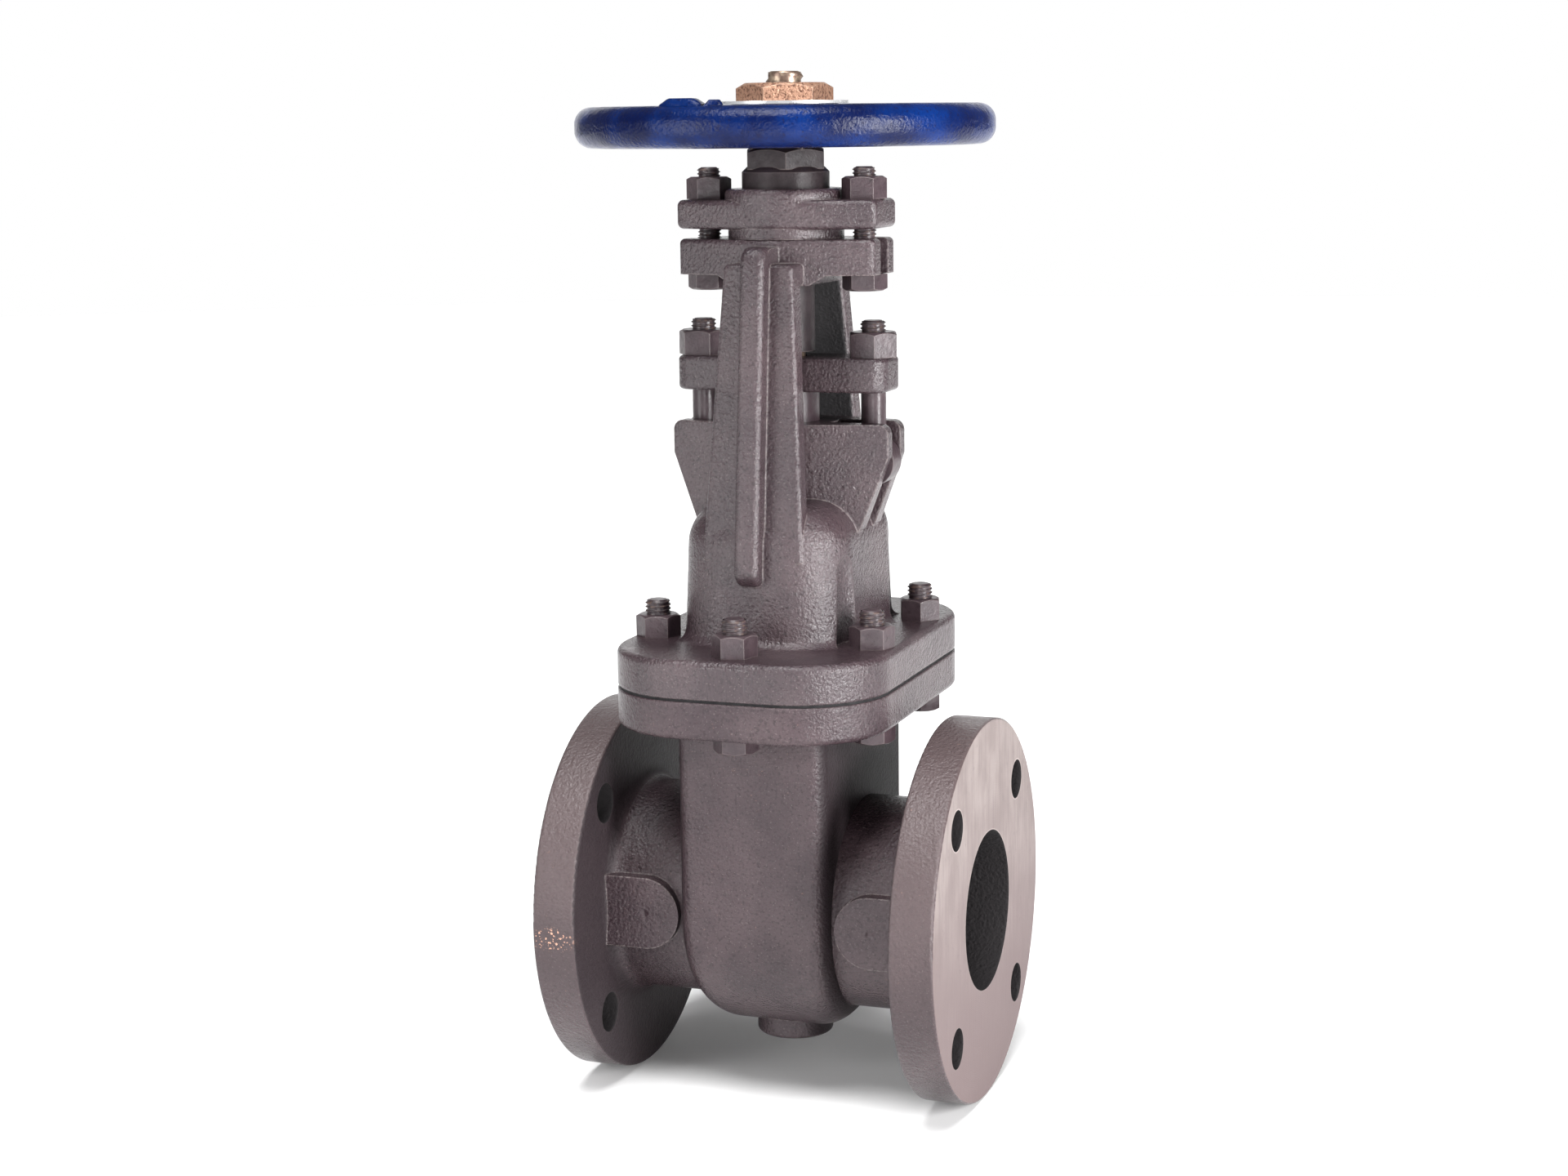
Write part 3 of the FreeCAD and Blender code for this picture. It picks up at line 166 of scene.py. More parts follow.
# Floor, lights and camera
FLOOR_RADIUS = 6.0
FLOOR_SIDES = 96
LIT_POINT = (STEM_X, 0.0, 0.18)
Box = namedtuple("Box", "name place width height watts")
SOFT_BOXES = (
    Box("left_box", (STEM_X - 0.90, -1.30, 0.40), 0.6, 0.8, 13.0),
    Box("front_box", (STEM_X + 0.35, -1.23, 0.12), 0.30, 0.42, 3.5),
    Box("right_box", (STEM_X + 1.54, -0.58, 0.44), 0.4, 0.9, 54.0),
    Box("back_box", (STEM_X - 0.70, 1.95, 0.62), 1.8, 0.9, 6.1),
)
SUN_STRENGTH = 4.2
SUN_ANGLE = math.radians(34.0)
SUN_TILT = math.radians(18.0)
# Light of the tent before and behind the valve, and the Y of the directions where each is reached
TENT_FRONT, TENT_BACK = 0.20, 0.18
TENT_FRONT_Y, TENT_BACK_Y = -0.6, 0.8
CAMERA_PLACE = Vector((0.55328, -1.25741, 0.38800))
CAMERA_YAW = math.radians(19.90)
CAMERA_PITCH = math.radians(9.817)
CAMERA_ROLL = math.radians(-0.712)
LENS_MM = 62.6
SENSOR_MM = 36.0


class Finish:
    """One node material, with short calls for the nodes that it needs."""

    def __init__(self, name, metallic=0.0, specular=0.5):
        self.material = bpy.data.materials.new(name)
        self.material.use_nodes = True
        self.tree = self.material.node_tree
        self.surface = self.tree.nodes["Principled BSDF"]
        self.surface.inputs["Metallic"].default_value = metallic
        self.surface.inputs["Specular IOR Level"].default_value = specular
        self.place = self.add("ShaderNodeTexCoord").outputs["Object"]
        self.normal = None
        self.cut = None

    def add(self, kind, **settings):
        """New node with its settings."""
        node = self.tree.nodes.new(kind)
        for name, value in settings.items():
            setattr(node, name, value)
        return node

    def feed(self, socket, value):
        """Link an output, or set a plain value."""
        if isinstance(value, bpy.types.NodeSocket):
            self.tree.links.new(value, socket)
        else:
            socket.default_value = value

    def noise(self, size, detail=2.0, roughness=0.5, place=None):
        """Cloudy pattern whose features are about one size across."""
        node = self.add("ShaderNodeTexNoise")
        self.feed(node.inputs["Vector"], place or self.place)
        self.feed(node.inputs["Scale"], 1.0 / size)
        self.feed(node.inputs["Detail"], detail)
        self.feed(node.inputs["Roughness"], roughness)
        return node.outputs["Fac"]

    def cells(self, size, smooth):
        """Pebbly pattern of cells about one size across."""
        node = self.add("ShaderNodeTexVoronoi", feature="SMOOTH_F1")
        self.feed(node.inputs["Vector"], self.place)
        self.feed(node.inputs["Scale"], 1.0 / size)
        self.feed(node.inputs["Smoothness"], smooth)
        return node.outputs["Distance"]

    def math(self, operation, first, second=0.0):
        """Result of an operation on one or two values."""
        node = self.add("ShaderNodeMath", operation=operation)
        self.feed(node.inputs[0], first)
        self.feed(node.inputs[1], second)
        return node.outputs[0]

    def times(self, first, second):
        """Product of two values."""
        return self.math("MULTIPLY", first, second)

    def under(self, value, limit):
        """1 where the value is under the limit, 0 elsewhere."""
        return self.math("LESS_THAN", value, limit)

    def over(self, value, limit):
        """1 where the value is over the limit, 0 elsewhere."""
        return self.math("GREATER_THAN", value, limit)

    def vector(self, operation, first, second=None):
        """Result of an operation on one or two vectors, as a vector or a value."""
        node = self.add("ShaderNodeVectorMath", operation=operation)
        self.feed(node.inputs[0], first)
        if second is not None:
            self.feed(node.inputs[1], second)
        scalar = operation in ("LENGTH", "DISTANCE", "DOT_PRODUCT")
        return node.outputs["Value" if scalar else "Vector"]

    def scaled(self, x, y, z, place=None):
        """Place with each coordinate multiplied."""
        return self.vector("MULTIPLY", place or self.place, (x, y, z))

    def axis(self, name, vector=None):
        """One coordinate of the place, or of another vector."""
        node = self.add("ShaderNodeSeparateXYZ")
        self.feed(node.inputs[0], vector or self.place)
        return node.outputs[name]

    def plain_normal(self):
        """Normal of the mesh, without any finish."""
        return self.add("ShaderNodeNewGeometry").outputs["Normal"]

    def ramp(self, value, start, end, at_start=0.0, at_end=1.0):
        """Smooth step from one level at the start to another at the end, which may be lower."""
        node = self.add("ShaderNodeMapRange", interpolation_type="SMOOTHSTEP")
        names = ("Value", "From Min", "From Max", "To Min", "To Max")
        for name, item in zip(names, (value, start, end, at_start, at_end)):
            self.feed(node.inputs[name], item)
        return node.outputs["Result"]

    def drift(self, size, low=0.0, high=1.0, detail=2.0):
        """Value that drifts from low to high over clouds about one size across."""
        return self.ramp(self.noise(size, detail), CLOUD_LOW, CLOUD_HIGH, low, high)

    def spots(self, size, start, full, share=1.0, detail=2.0, roughness=0.5, place=None):
        """Share that grows where a cloudy pattern goes over its start, up to its full level."""
        return self.ramp(self.noise(size, detail, roughness, place), start, full, 0.0, share)

    def pits(self, size, start, full, share):
        """Share that grows where a cloudy pattern goes under its start, down to its full level."""
        return self.ramp(self.noise(size), full, start, share, 0.0)

    def within(self, value, low, high, blur):
        """Share that is 1 between two values and fades over a blur on both sides."""
        rise = self.ramp(value, low - blur, low + blur)
        fall = self.ramp(value, high + blur, high - blur)
        return self.times(rise, fall)

    def pick(self, share, first, second, kind="FLOAT"):
        """First value where the share is 0, second where it is 1."""
        node = self.add("ShaderNodeMix", data_type=kind)
        self.feed(node.inputs["Factor"], share)
        self.feed(node.inputs["A"], first)
        self.feed(node.inputs["B"], second)
        return node.outputs["Result"]

    def mix(self, share, first, second):
        """Colour between two colours."""
        return self.pick(share, colour(first), colour(second), "RGBA")

    def bump(self, height, distance, strength=1.0):
        """Raise the surface by a height pattern, over what is raised already."""
        node = self.add("ShaderNodeBump")
        self.feed(node.inputs["Height"], height)
        self.feed(node.inputs["Distance"], distance)
        self.feed(node.inputs["Strength"], strength)
        if self.normal:
            self.feed(node.inputs["Normal"], self.normal)
        self.normal = node.outputs["Normal"]

    def rounded(self, radius):
        """Normal over rounded edges, but plain where the piece is cut from its neighbour."""
        bevel = self.add("ShaderNodeBevel", samples=6)
        self.feed(bevel.inputs["Radius"], radius)
        if self.cut is None:
            return bevel.outputs["Normal"]
        return self.pick(self.cut, bevel.outputs["Normal"], self.plain_normal(), "VECTOR")

    def edges(self, radius):
        """Share that is high where the surface turns sharply within a radius."""
        turn = self.vector("DOT_PRODUCT", self.rounded(radius), self.plain_normal())
        return self.ramp(turn, EDGE_START, EDGE_SHARP)

    def soften(self, radius):
        """Start the normal from rounded edges."""
        self.normal = self.rounded(radius)

    def cast_skin(self, skin):
        """Raise broad waves, pebbles and fine grit."""
        self.bump(self.noise(skin.wave), skin.wave_height, skin.wave_strength)
        self.bump(self.cells(skin.pebble, skin.pebble_smooth), skin.pebble_height, PEBBLE_STRENGTH)
        grit = self.noise(skin.grit, detail=3.0, roughness=0.6)
        self.bump(grit, skin.grit_height, GRIT_STRENGTH)

    def done(self, base, roughness, metallic=None):
        """Feed the shader and give the material."""
        self.feed(self.surface.inputs["Base Color"], colour(base))
        self.feed(self.surface.inputs["Roughness"], roughness)
        if metallic is not None:
            self.feed(self.surface.inputs["Metallic"], metallic)
        if self.normal:
            self.feed(self.surface.inputs["Normal"], self.normal)
        return self.material


def colour(value):
    """Four numbers for a colour socket, or the output that feeds it."""
    if isinstance(value, bpy.types.NodeSocket):
        return value
    return (*value, 1.0)


# Paint on castings

def paint_colour(finish):
    """Dark paint, cloudy, deeper in its pits, with painted sparkle on grains and painted glints
    along the edges.
    """
    clouds = finish.spots(35 * MM, start=0.35, full=0.7, detail=3.0)
    tone = finish.mix(clouds, PAINT, PAINT_LIGHT)
    pits = finish.pits(1.6 * MM, start=0.48, full=0.32, share=0.5)
    tone = finish.mix(pits, tone, PAINT_DEEP_AND_SHADE)
    # Painted sparkle: pale specks that stand in for glints off the grains
    painted_sparkle = finish.spots(0.9 * MM, start=0.64, full=0.74, share=0.22, detail=1.0)
    tone = finish.mix(painted_sparkle, tone, PAINT_WORN_AND_GLINT)
    # Painted glints along the edges, broken up by a grain
    grains = finish.ramp(finish.noise(1.4 * MM, detail=3.0, roughness=0.6), 0.38, 0.62,
                         at_start=0.15, at_end=0.75)
    return finish.mix(finish.times(finish.edges(1.3 * MM), grains), tone, PAINT_WORN_AND_GLINT)


def paint_gloss(finish):
    """Roughness of the paint: uneven, and wetter where it ran off the edges."""
    gloss = finish.drift(9 * MM, low=0.19, high=0.25, detail=3.0)
    return finish.pick(finish.edges(2.5 * MM), gloss, WET_EDGE_ROUGHNESS)


def ground_patch(finish):
    """Leave upright tool marks where the joint's front edge was ground."""
    cast_normal = finish.normal
    front = finish.under(finish.axis("Y"), JOINT_FRONT + 0.3 * MM)
    middle = finish.within(finish.axis("X"), STEM_X - GROUND_HALF_WIDTH,
                           STEM_X + GROUND_HALF_WIDTH, blur=1.5 * MM)
    patch = finish.times(middle, front)
    finish.normal = None
    marks = finish.noise(1.1 * MM, detail=3.0, roughness=0.6, place=finish.scaled(1.0, 1.0, 0.06))
    finish.bump(marks, 0.4 * MM)
    finish.normal = finish.pick(patch, cast_normal, finish.normal, "VECTOR")


def yoke_painted_shade(finish):
    """Share of the yoke's faces that look in at the stem, which get painted shade."""
    from_stem = finish.vector("SUBTRACT", finish.place, (STEM_X, 0.0, 0.0))
    outward = finish.vector("NORMALIZE", finish.scaled(1.0, 1.0, 0.0, place=from_stem))
    facing = finish.vector("DOT_PRODUCT", outward, finish.plain_normal())
    inward = finish.ramp(facing, IN_YOKE_START, IN_YOKE_FULL)
    high = finish.ramp(finish.axis("Z"), YOKE_ROOT_LOW, YOKE_ROOT_HIGH)
    return finish.times(finish.times(inward, high), IN_YOKE_SHARE)


def cast_paint():
    """Semi-gloss paint over sand-cast iron."""
    finish = Finish("cast_paint")
    finish.soften(1.8 * MM)
    finish.cast_skin(SAND_SKIN)
    ground_patch(finish)
    # Painted shade darkens the yoke's faces that look in at the stem
    shade = yoke_painted_shade(finish)
    tone = finish.mix(shade, paint_colour(finish), YOKE_SHADE)
    gloss = finish.pick(shade, paint_gloss(finish), IN_YOKE_ROUGHNESS)
    return finish.done(tone, gloss)


# Paint and machined faces of the body

def from_middle(finish):
    """Distance from the plane across the stem."""
    return finish.math("ABSOLUTE", finish.math("SUBTRACT", finish.axis("X"), STEM_X))


def from_bore(finish):
    """Distance from the bore's axis."""
    return finish.vector("LENGTH", finish.scaled(0.0, 1.0, 1.0))


def from_bolt_hole(finish):
    """Distance from the axis of the nearest flange hole."""
    side = BOLT_CIRCLE_RADIUS * math.sqrt(0.5)
    folded = finish.scaled(0.0, 1.0, 1.0, place=finish.vector("ABSOLUTE", finish.place))
    return finish.vector("DISTANCE", folded, (0.0, side, side))


def pad_dimples(finish, reach):
    """Shallow dimple in the middle of each side pad."""
    along = finish.math("SUBTRACT", reach, PAD_REACH)
    up = finish.axis("Z")
    squares = finish.math("ADD", finish.times(along, along), finish.times(up, up))
    finish.bump(finish.ramp(finish.math("SQRT", squares), 0.0, 2.6 * MM), 0.8 * MM)


def turned_normal(finish, radius):
    """Normal of an end face with rings from the tool and upright scratches."""
    finish.normal = None
    rings = finish.math("SINE", finish.times(radius, 2 * math.pi / (0.9 * MM)))
    finish.bump(rings, 0.012 * MM)
    scratches = finish.noise(1.6 * MM, detail=3.0, roughness=0.6,
                             place=finish.scaled(1.0, 1.0, 0.10))
    finish.bump(scratches, 0.06 * MM)
    return finish.normal


def machined_colour(finish, radius, hole):
    """Dulled bright iron with clouds, upright streaks, small stains, bright hole edges and painted
    shade lower down.
    """
    tone = finish.mix(finish.drift(34 * MM, detail=4.0), MACHINED, MACHINED_LIGHT)
    streaks = finish.spots(3.2 * MM, start=0.40, full=0.68, share=0.5, detail=4.0, roughness=0.6,
                           place=finish.scaled(1.0, 1.0, 0.12))
    tone = finish.mix(streaks, tone, MACHINED_STREAK)
    stains = finish.spots(5 * MM, start=0.60, full=0.70, share=0.5, detail=5.0, roughness=0.65)
    tone = finish.mix(stains, tone, MACHINED_STAIN)
    edge_start, edge_full = 0.8 * MM, 0.3 * MM
    hole_edge = finish.ramp(hole, FLANGE_HOLE_RADIUS + edge_start, FLANGE_HOLE_RADIUS + edge_full)
    bore_edge = finish.ramp(radius, BORE_RADIUS + edge_start, BORE_RADIUS + edge_full)
    rims = finish.times(finish.math("MAXIMUM", hole_edge, bore_edge), 0.7)
    tone = finish.mix(rims, tone, MACHINED_EDGE)
    # Painted shade: the face grows darker lower down
    low = finish.ramp(finish.axis("Z"), 85 * MM, -70 * MM, at_end=0.95)
    return finish.mix(low, tone, MACHINED_LOW_SHADE)


def sheltered_painted_shade(finish, reach):
    """Share of the walls that face along the bore between the flanges, which get painted shade."""
    facing = finish.math("ABSOLUTE", finish.axis("X", finish.plain_normal()))
    between = finish.times(finish.under(reach, STEM_X - 2 * MM),
                           finish.under(finish.axis("Z"), BODY_FLANGE_FOOT))
    return finish.times(finish.ramp(facing, SHELTERED_START, SHELTERED_FULL), between)


def flange_rim(finish, reach, radius, tone):
    """Thinner, paler paint on the flanges' turned rims, with painted light making it lighter
    towards the top.
    """
    back = STEM_X - FLANGE_THICKNESS
    rim = finish.times(finish.ramp(radius, FLANGE_RADIUS - 1.2 * MM, FLANGE_RADIUS - 0.4 * MM),
                       finish.ramp(reach, back - 1.0 * MM, back + 1.0 * MM))
    # Painted light from above: the rim's paler paint grows towards the top
    lit_from_above = finish.ramp(finish.axis("Z"), -70 * MM, 95 * MM, at_start=0.15)
    return finish.mix(finish.times(rim, lit_from_above), tone, PAINT_ON_RIM)


def rust_grains(finish, tone):
    """A patch of rusty grains on the front of the inlet flange's rim, and faint rust all over."""
    away = finish.vector("DISTANCE", finish.scaled(*RUST_SCALE), RUST_MIDDLE)
    patch = finish.ramp(away, RUST_START, RUST_FULL)
    grains = finish.spots(1.3 * MM, start=0.58, full=0.64)
    tone = finish.mix(finish.times(patch, grains), tone, RUST_GRAIN)
    faint = finish.spots(2.4 * MM, start=0.66, full=0.74, share=0.45, detail=4.0, roughness=0.7)
    return finish.mix(faint, tone, RUST_FAINT)


def body_paint():
    """The cast paint on the body, with turned end faces, and bores and bolt holes painted dark as
    shade.
    """
    finish = Finish("body_paint", specular=0.36)
    reach = from_middle(finish)
    radius = from_bore(finish)
    hole = from_bolt_hole(finish)
    finish.cut = finish.within(reach, NECK_CUT_REACH - NECK_CUT_HALF_WIDTH,
                               NECK_CUT_REACH + NECK_CUT_HALF_WIDTH, blur=0.5 * MM)
    face = finish.over(reach, STEM_X - 0.15 * MM)
    in_hole = finish.times(finish.under(hole, FLANGE_HOLE_RADIUS + 0.1 * MM),
                           finish.over(reach, STEM_X - FLANGE_THICKNESS - 2 * MM))
    in_bore = finish.under(radius, BORE_RADIUS + 0.2 * MM)
    inside = finish.math("MAXIMUM", in_bore, in_hole)
    sheltered = sheltered_painted_shade(finish, reach)

    finish.soften(1.8 * MM)
    finish.cast_skin(SAND_SKIN)
    pad_dimples(finish, reach)
    cast_normal = finish.normal
    finish.normal = finish.pick(face, cast_normal, turned_normal(finish, radius), "VECTOR")

    tone = flange_rim(finish, reach, radius, paint_colour(finish))
    tone = rust_grains(finish, tone)
    tone = finish.mix(face, tone, machined_colour(finish, radius, hole))
    # Painted shade: bores and bolt holes near black
    tone = finish.mix(inside, tone, INSIDE)
    # Painted shade on the walls that face along the bore between the flanges
    tone = finish.mix(finish.times(sheltered, SHELTERED_SHARE), tone, PAINT_DEEP_AND_SHADE)
    gloss = finish.pick(sheltered, paint_gloss(finish), SHELTERED_ROUGHNESS)
    gloss = finish.pick(face, gloss, MACHINED_ROUGHNESS)
    gloss = finish.pick(inside, gloss, INSIDE_ROUGHNESS)
    return finish.done(tone, gloss, metallic=finish.times(face, MACHINED_METALLIC))


# Finishes of the other pieces

def inside_iron():
    """Dark raw iron of the wedge, painted near black as shade inside the bore."""
    finish = Finish("inside_iron", specular=0.3)
    finish.cast_skin(SAND_SKIN)
    # Painted shade: near black, as the wedge sits inside the bore
    tone = finish.mix(finish.noise(9 * MM, detail=3.0), INSIDE, INSIDE_LIGHT)
    return finish.done(tone, roughness=finish.drift(6 * MM, low=0.5, high=0.7))


def turned_paint(name, tones, matt=0.0):
    """Paint over a turned or forged piece: smooth, with faint tool marks and wetter edges.

    The matt share adds to its roughness and takes from its shine.
    """
    finish = Finish(name, specular=0.36 - 1.2 * matt)
    finish.soften(0.6 * MM)
    finish.bump(finish.noise(3.0 * MM), 0.16 * MM)
    finish.bump(finish.noise(0.9 * MM, detail=3.0), 0.08 * MM)
    tone = finish.mix(finish.drift(9 * MM, detail=3.0), *tones)
    grime = finish.spots(2.2 * MM, start=0.56, full=0.70, share=0.7, detail=4.0, roughness=0.65)
    tone = finish.mix(grime, tone, PAINT_DEEP_AND_SHADE)
    edge = finish.edges(0.7 * MM)
    tone = finish.mix(finish.times(edge, 0.5), tone, PAINT_WORN_AND_GLINT)
    gloss = finish.drift(5 * MM, low=0.28 + matt, high=0.40 + matt)
    return finish.done(tone, finish.pick(edge, gloss, 0.22 + matt))


def thread_paint():
    """Dark oily steel of the screw threads, browned in places, with painted highlights on the
    crests.
    """
    finish = Finish("thread_paint", metallic=0.25)
    finish.bump(finish.noise(0.8 * MM), 0.06 * MM)
    rust = finish.spots(2.4 * MM, start=0.45, full=0.65, detail=3.0)
    # Painted highlight on the thread crests
    worn = finish.times(finish.edges(0.35 * MM), 0.6)
    tone = finish.mix(worn, finish.mix(rust, *THREAD_STEEL), PAINT_WORN_AND_GLINT)
    return finish.done(tone, roughness=0.36)


def wheel_enamel():
    """Glossy deep blue enamel over a cast wheel, with a pebbled skin."""
    finish = Finish("wheel_enamel", specular=0.16)
    finish.soften(1.0 * MM)
    finish.cast_skin(WHEEL_SKIN)
    tone = finish.mix(finish.spots(28 * MM, start=0.35, full=0.7, detail=3.0), *ENAMEL)
    pits = finish.pits(1.6 * MM, start=0.44, full=0.30, share=0.7)
    tone = finish.mix(pits, tone, ENAMEL_PIT)
    return finish.done(tone, roughness=finish.drift(6 * MM, low=0.14, high=0.24))


def cast_bronze():
    """Rough bronze, bright on the crests and dark in the pits."""
    finish = Finish("cast_bronze", metallic=0.5)
    finish.soften(0.9 * MM)
    grit = finish.noise(1.5 * MM, detail=3.0, roughness=0.62)
    finish.bump(grit, 0.7 * MM)
    tone = finish.mix(finish.ramp(grit, 0.33, 0.56), *BRONZE)
    worn = finish.times(finish.edges(0.9 * MM), 0.6)
    tone = finish.mix(worn, tone, BRONZE_WORN)
    return finish.done(tone, roughness=finish.ramp(grit, 0.35, 0.65, at_start=0.55, at_end=0.35))


def stem_bronze():
    """Turned bronze, dulled brown with paler patches."""
    finish = Finish("stem_bronze", metallic=0.7)
    finish.soften(0.4 * MM)
    finish.bump(finish.noise(0.9 * MM), 0.06 * MM)
    tone = finish.mix(finish.spots(5.0 * MM, start=0.40, full=0.64, detail=3.0), *STEM_BRONZE)
    return finish.done(tone, roughness=finish.drift(3 * MM, low=0.26, high=0.44))


def bright_sheet():
    """Plain bright sheet metal with fine scratches."""
    finish = Finish("bright_sheet", metallic=0.6)
    finish.bump(finish.noise(0.6 * MM), 0.02 * MM)
    tone = finish.mix(finish.drift(9 * MM, detail=3.0), *SHEET)
    return finish.done(tone, roughness=finish.drift(7 * MM, low=0.2, high=0.36))


def black_sheet():
    """Matte black gasket sheet."""
    finish = Finish("black_sheet", specular=0.3)
    finish.bump(finish.noise(0.5 * MM, detail=3.0), 0.08 * MM)
    tone = finish.mix(finish.noise(3 * MM, detail=3.0), *GASKET)
    return finish.done(tone, roughness=finish.drift(4 * MM, low=0.7, high=0.9))


def graphite_braid():
    """Braided graphite packing."""
    finish = Finish("graphite_braid")
    finish.bump(finish.cells(2.4 * MM, smooth=0.2), 0.4 * MM)
    tone = finish.mix(finish.noise(2 * MM), *GRAPHITE)
    return finish.done(tone, roughness=finish.drift(3 * MM, low=0.5, high=0.7))


def floor_finish():
    """Plain pale floor with a breath of unevenness."""
    finish = Finish("pale_floor", specular=0.1)
    tone = finish.mix(finish.noise(0.6), *FLOOR)
    return finish.done(tone, roughness=finish.drift(0.4, low=0.65, high=0.8))


# Names of pieces that come in sets

def numbered(stem, count):
    """Names with a number after the stem."""
    return ["%s_%d" % (stem, index) for index in range(1, count + 1)]


def both(stem):
    """Names of the left and the right piece."""
    return [stem + "_left", stem + "_right"]


# Pieces that the scene adds

def in_scene(name, data):
    """New object in the scene, for a mesh, light or camera."""
    item = bpy.data.objects.new(name, data)
    bpy.context.scene.collection.objects.link(item)
    return item


def new_mesh(name, points, faces, material):
    """Mesh with one material."""
    mesh = bpy.data.meshes.new(name)
    mesh.from_pydata(points, [], faces)
    mesh.materials.append(material)
    return mesh


def new_piece(name, points, faces, material, body):
    """A smooth mesh object in the frame of the model that rides on a body."""
    mesh = new_mesh(name, points, faces, material)
    mesh.shade_smooth()
    piece = in_scene(name, mesh)
    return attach(piece, body)


def strips(rows, count, flip=False):
    """Quads that join rows of points, each with the same count, into a sheet."""
    faces = []
    for row in range(rows):
        for index in range(count - 1):
            a = row * count + index
            b = a + count
            faces.append((a, b, b + 1, a + 1) if flip else (a, a + 1, b + 1, b))
    return faces


def thread(name, centre, low, high, screw, material, body, hand=1):
    """Ridge that winds round a shank from one height to another, both ends run out."""
    turns = math.ceil((high - low) / screw.pitch) + 1
    steps = turns * THREAD_STEPS
    points = []
    for step in range(steps + 1):
        angle = 2 * math.pi * step / THREAD_STEPS
        base = low - screw.pitch + screw.pitch * step / THREAD_STEPS
        for share, ridge in RIDGE:
            height = min(max(base + share * screw.pitch, low), high)
            room = min(height - low, high - height) / (RIDGE_RUN_OUT * screw.pitch)
            rise = (screw.crest - screw.root) * ridge * min(1.0, max(0.0, room))
            reach = screw.root + rise
            points.append((centre.x + reach * math.cos(hand * angle),
                           centre.y + reach * math.sin(hand * angle), height))
    count = len(RIDGE)
    faces = strips(steps, count, flip=hand > 0)
    # The bottom between one turn and the next
    for step in range(steps - THREAD_STEPS):
        a = step * count + count - 1
        b = a + count
        c = (step + THREAD_STEPS) * count
        d = c + count
        faces.append((a, b, d, c) if hand > 0 else (a, c, d, b))
    return new_piece(name, points, faces, material, body)


def top_and_middle(node):
    """Height of a node's top, and the foot of its upright axis."""
    low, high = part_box(node)
    return high.z, Vector(((low.x + high.x) / 2, (low.y + high.y) / 2, 0.0))


def bolt_threads(material):
    """Threads on every bolt end that stands out of its nut, and under the yoke's cap."""
    gap_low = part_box("bonnet_yoke")[1].z - CAP_GAP_THREAD_LOW
    gap_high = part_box("cap_nut_left")[0].z - CAP_GAP_THREAD_HIGH
    bolts = numbered("bonnet_bolt", BONNET_BOLTS) + both("gland_eyebolt") + both("cap_bolt")
    nuts = numbered("bonnet_nut", BONNET_BOLTS) + both("gland_nut") + both("cap_nut")
    for bolt, nut in zip(bolts, nuts):
        on_cap = bolt in both("cap_bolt")
        screw = CAP_BOLT_SCREW if on_cap else BOLT_SCREW
        nut_top, centre = top_and_middle(nut)
        bolt_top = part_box(bolt)[1].z
        thread(bolt + "_thread", centre, nut_top - THREAD_END, bolt_top - THREAD_END, screw,
               material, "valve")
        if on_cap:
            thread(bolt + "_gap_thread", centre, gap_low, gap_high, screw,
                   material, "valve")


def stem_thread(material):
    """Left-hand screw of the stem, down to what stands in the wheel's nut when the stem is up."""
    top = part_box("stem")[1].z - STEM_THREAD_END
    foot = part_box("wheel_nut")[1].z - STEM_LIFT - STEM_THREAD_IN_NUT
    thread("stem_thread", Vector((STEM_X, 0.0, 0.0)), foot, top, STEM_SCREW,
           material, "stem", hand=-1)


def rim_mark(name, start, end, half_width, rise, material, pointed=False):
    """Raised bar along the top of the wheel's rim from one angle to another, with sloping ends."""
    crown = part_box("handwheel")[1].z
    points = []
    for step in range(MARK_STEPS + 1):
        share = step / MARK_STEPS
        angle = math.radians(start + (end - start) * share)
        wide = half_width * ((1.0 - MARK_POINT * share) if pointed else 1.0)
        slope = min(1.0, share / MARK_SLOPE, (1.0 - share) / MARK_SLOPE)
        for side, lift in MARK_SECTION:
            radius = RIM_MIDDLE_RADIUS + side * wide
            height = crown - MARK_ROOT + lift * (MARK_ROOT + slope * rise)
            points.append((STEM_X + radius * math.cos(angle), radius * math.sin(angle), height))
    count = len(MARK_SECTION)
    last_row = MARK_STEPS * count
    faces = strips(MARK_STEPS, count)
    faces.append(tuple(range(count)))
    faces.append(tuple(reversed(range(last_row, last_row + count))))
    return new_piece(name, points, faces, material, "wheel")


def turning_arrow(material):
    """Arrow on the wheel's rim that shows which way to turn, its angles in degrees."""
    rim_mark("turning_arrow_bar", start=-107.8, end=-94.0, half_width=4.2 * MM, rise=2.7 * MM,
             material=material)
    rim_mark("turning_arrow_head", start=-92.6, end=-88.2, half_width=6.0 * MM, rise=1.9 * MM,
             material=material, pointed=True)


# What goes on what

def dress(names, material):
    """Give pieces of the model their material."""
    for name in names:
        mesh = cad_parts[name].data
        mesh.materials.clear()
        mesh.materials.append(material)


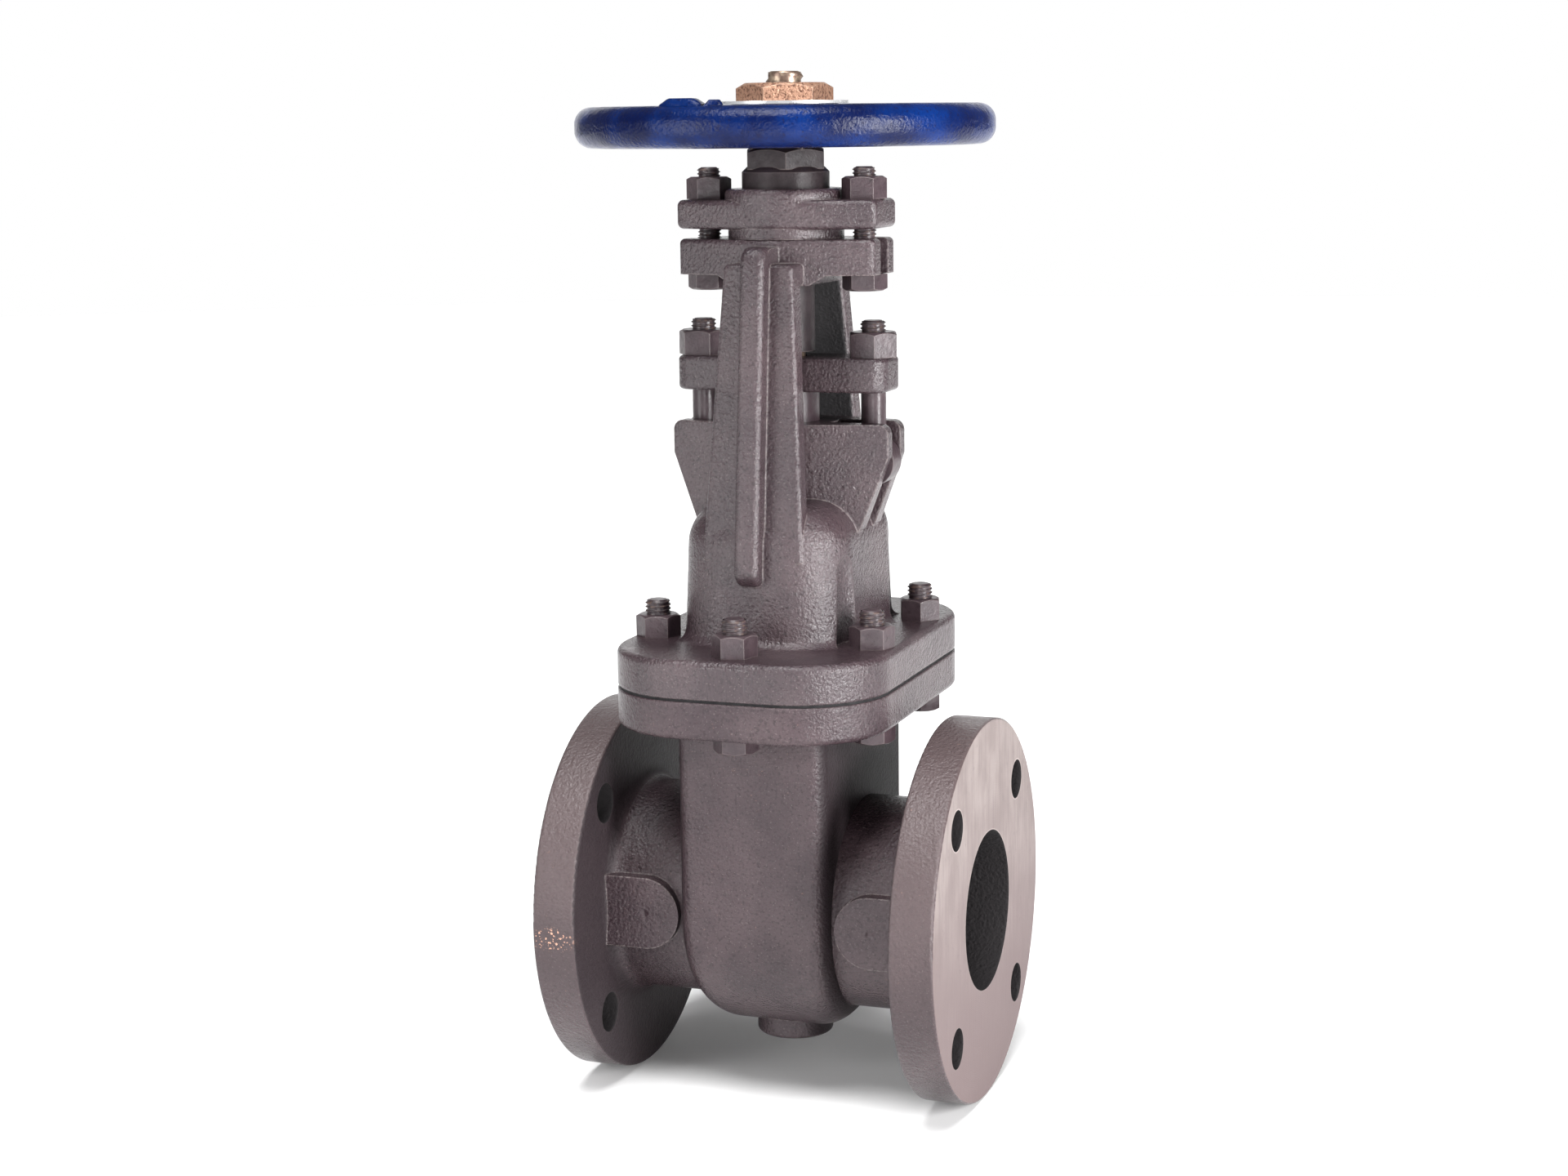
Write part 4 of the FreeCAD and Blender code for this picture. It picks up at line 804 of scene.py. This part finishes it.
def finish_everything():
    """Materials on all pieces, and the pieces that the scene adds."""
    enamel = wheel_enamel()
    bronze = stem_bronze()
    dress(["valve_body", "inlet_end", "outlet_end"], body_paint())
    dress(["bonnet_yoke", "yoke_cap", "gland_flange"] + both("gland_pin"), cast_paint())
    dress(["wedge"], inside_iron())
    dress(["yoke_nut"], turned_paint("dark_turned_paint", DARK_PAINT, matt=0.12))
    dress(["gland"] + both("gland_eyebolt") + both("gland_nut") + both("cap_bolt")
          + both("cap_nut") + numbered("bonnet_bolt", BONNET_BOLTS)
          + numbered("bonnet_nut", BONNET_BOLTS),
          turned_paint("bolt_paint", BOLT_PAINT))
    dress(["handwheel"], enamel)
    dress(["wheel_nut"], cast_bronze())
    dress(["stem", "seat_ring_inlet", "seat_ring_outlet"], bronze)
    dress(["wheel_plate"], bright_sheet())
    dress(["bonnet_gasket"], black_sheet())
    dress(["packing_rings"], graphite_braid())
    bolt_threads(thread_paint())
    stem_thread(bronze)
    turning_arrow(enamel)


# Surroundings

def floor():
    """Round pale floor that the two end flanges stand on."""
    points = [(0.0, 0.0, -FLANGE_RADIUS)]
    for index in range(FLOOR_SIDES):
        angle = 2 * math.pi * index / FLOOR_SIDES
        points.append((STEM_X + FLOOR_RADIUS * math.cos(angle), FLOOR_RADIUS * math.sin(angle),
                       -FLANGE_RADIUS))
    faces = [(0, 1 + index, 1 + (index + 1) % FLOOR_SIDES) for index in range(FLOOR_SIDES)]
    ground = in_scene("floor", new_mesh("floor", points, faces, floor_finish()))


def soft_box(box):
    """Rectangular soft light that faces the valve."""
    light = bpy.data.lights.new(box.name, "AREA")
    light.shape = "RECTANGLE"
    light.size = box.width
    light.size_y = box.height
    light.energy = box.watts
    lamp = in_scene(box.name, light)
    away = Vector(box.place) - Vector(LIT_POINT)
    lamp.rotation_euler = away.to_track_quat("Z", "Y").to_euler()
    lamp.location = box.place


def overhead_sun():
    """Broad soft light from above, tilted to the front."""
    light = bpy.data.lights.new("overhead", "SUN")
    light.energy = SUN_STRENGTH
    light.angle = SUN_ANGLE
    in_scene("overhead", light).rotation_euler = (SUN_TILT, 0.0, 0.0)


def tent():
    """Pale surroundings: white to the eye, and a dim light a little stronger from the front."""
    world = bpy.data.worlds.new("pale_tent")
    world.use_nodes = True
    tree = world.node_tree
    background = tree.nodes["Background"]
    background.inputs["Color"].default_value = (1.0, 1.0, 1.0, 1.0)
    split = tree.nodes.new("ShaderNodeSeparateXYZ")
    tree.links.new(tree.nodes.new("ShaderNodeTexCoord").outputs["Generated"], split.inputs[0])
    depth = tree.nodes.new("ShaderNodeMapRange")
    depth.inputs["From Min"].default_value = TENT_FRONT_Y
    depth.inputs["From Max"].default_value = TENT_BACK_Y
    depth.inputs["To Min"].default_value = TENT_FRONT
    depth.inputs["To Max"].default_value = TENT_BACK
    tree.links.new(split.outputs["Y"], depth.inputs["Value"])
    seen = tree.nodes.new("ShaderNodeMath")
    seen.operation = "MAXIMUM"
    tree.links.new(tree.nodes.new("ShaderNodeLightPath").outputs["Is Camera Ray"], seen.inputs[0])
    tree.links.new(depth.outputs["Result"], seen.inputs[1])
    tree.links.new(seen.outputs[0], background.inputs["Strength"])
    bpy.context.scene.world = world


def lights():
    """Soft boxes round the valve, soft light from above and a pale tent round them."""
    for box in SOFT_BOXES:
        soft_box(box)
    overhead_sun()
    tent()
    bpy.context.scene.view_settings.view_transform = "Standard"


def camera():
    """Camera at the photograph's place and angle."""
    cos_p, sin_p = math.cos(CAMERA_PITCH), math.sin(CAMERA_PITCH)
    ahead = Vector((-math.sin(CAMERA_YAW) * cos_p, math.cos(CAMERA_YAW) * cos_p, -sin_p))
    level = Vector((math.cos(CAMERA_YAW), math.sin(CAMERA_YAW), 0.0))
    up = level.cross(ahead)
    cos_r, sin_r = math.cos(CAMERA_ROLL), math.sin(CAMERA_ROLL)
    right = level * cos_r + up * sin_r
    top = up * cos_r - level * sin_r
    lens = bpy.data.cameras.new("photo_camera")
    lens.sensor_fit = "HORIZONTAL"
    lens.sensor_width = SENSOR_MM
    lens.lens = LENS_MM
    lens.clip_start = 0.05
    lens.clip_end = 50.0
    view = in_scene("photo_camera", lens)
    turn = Matrix((right, top, -ahead)).transposed().to_4x4()
    view.matrix_world = Matrix.Translation(CAMERA_PLACE) @ turn
    bpy.context.scene.camera = view


finish_everything()
floor()
lights()
camera()

bpy.context.view_layer.update()
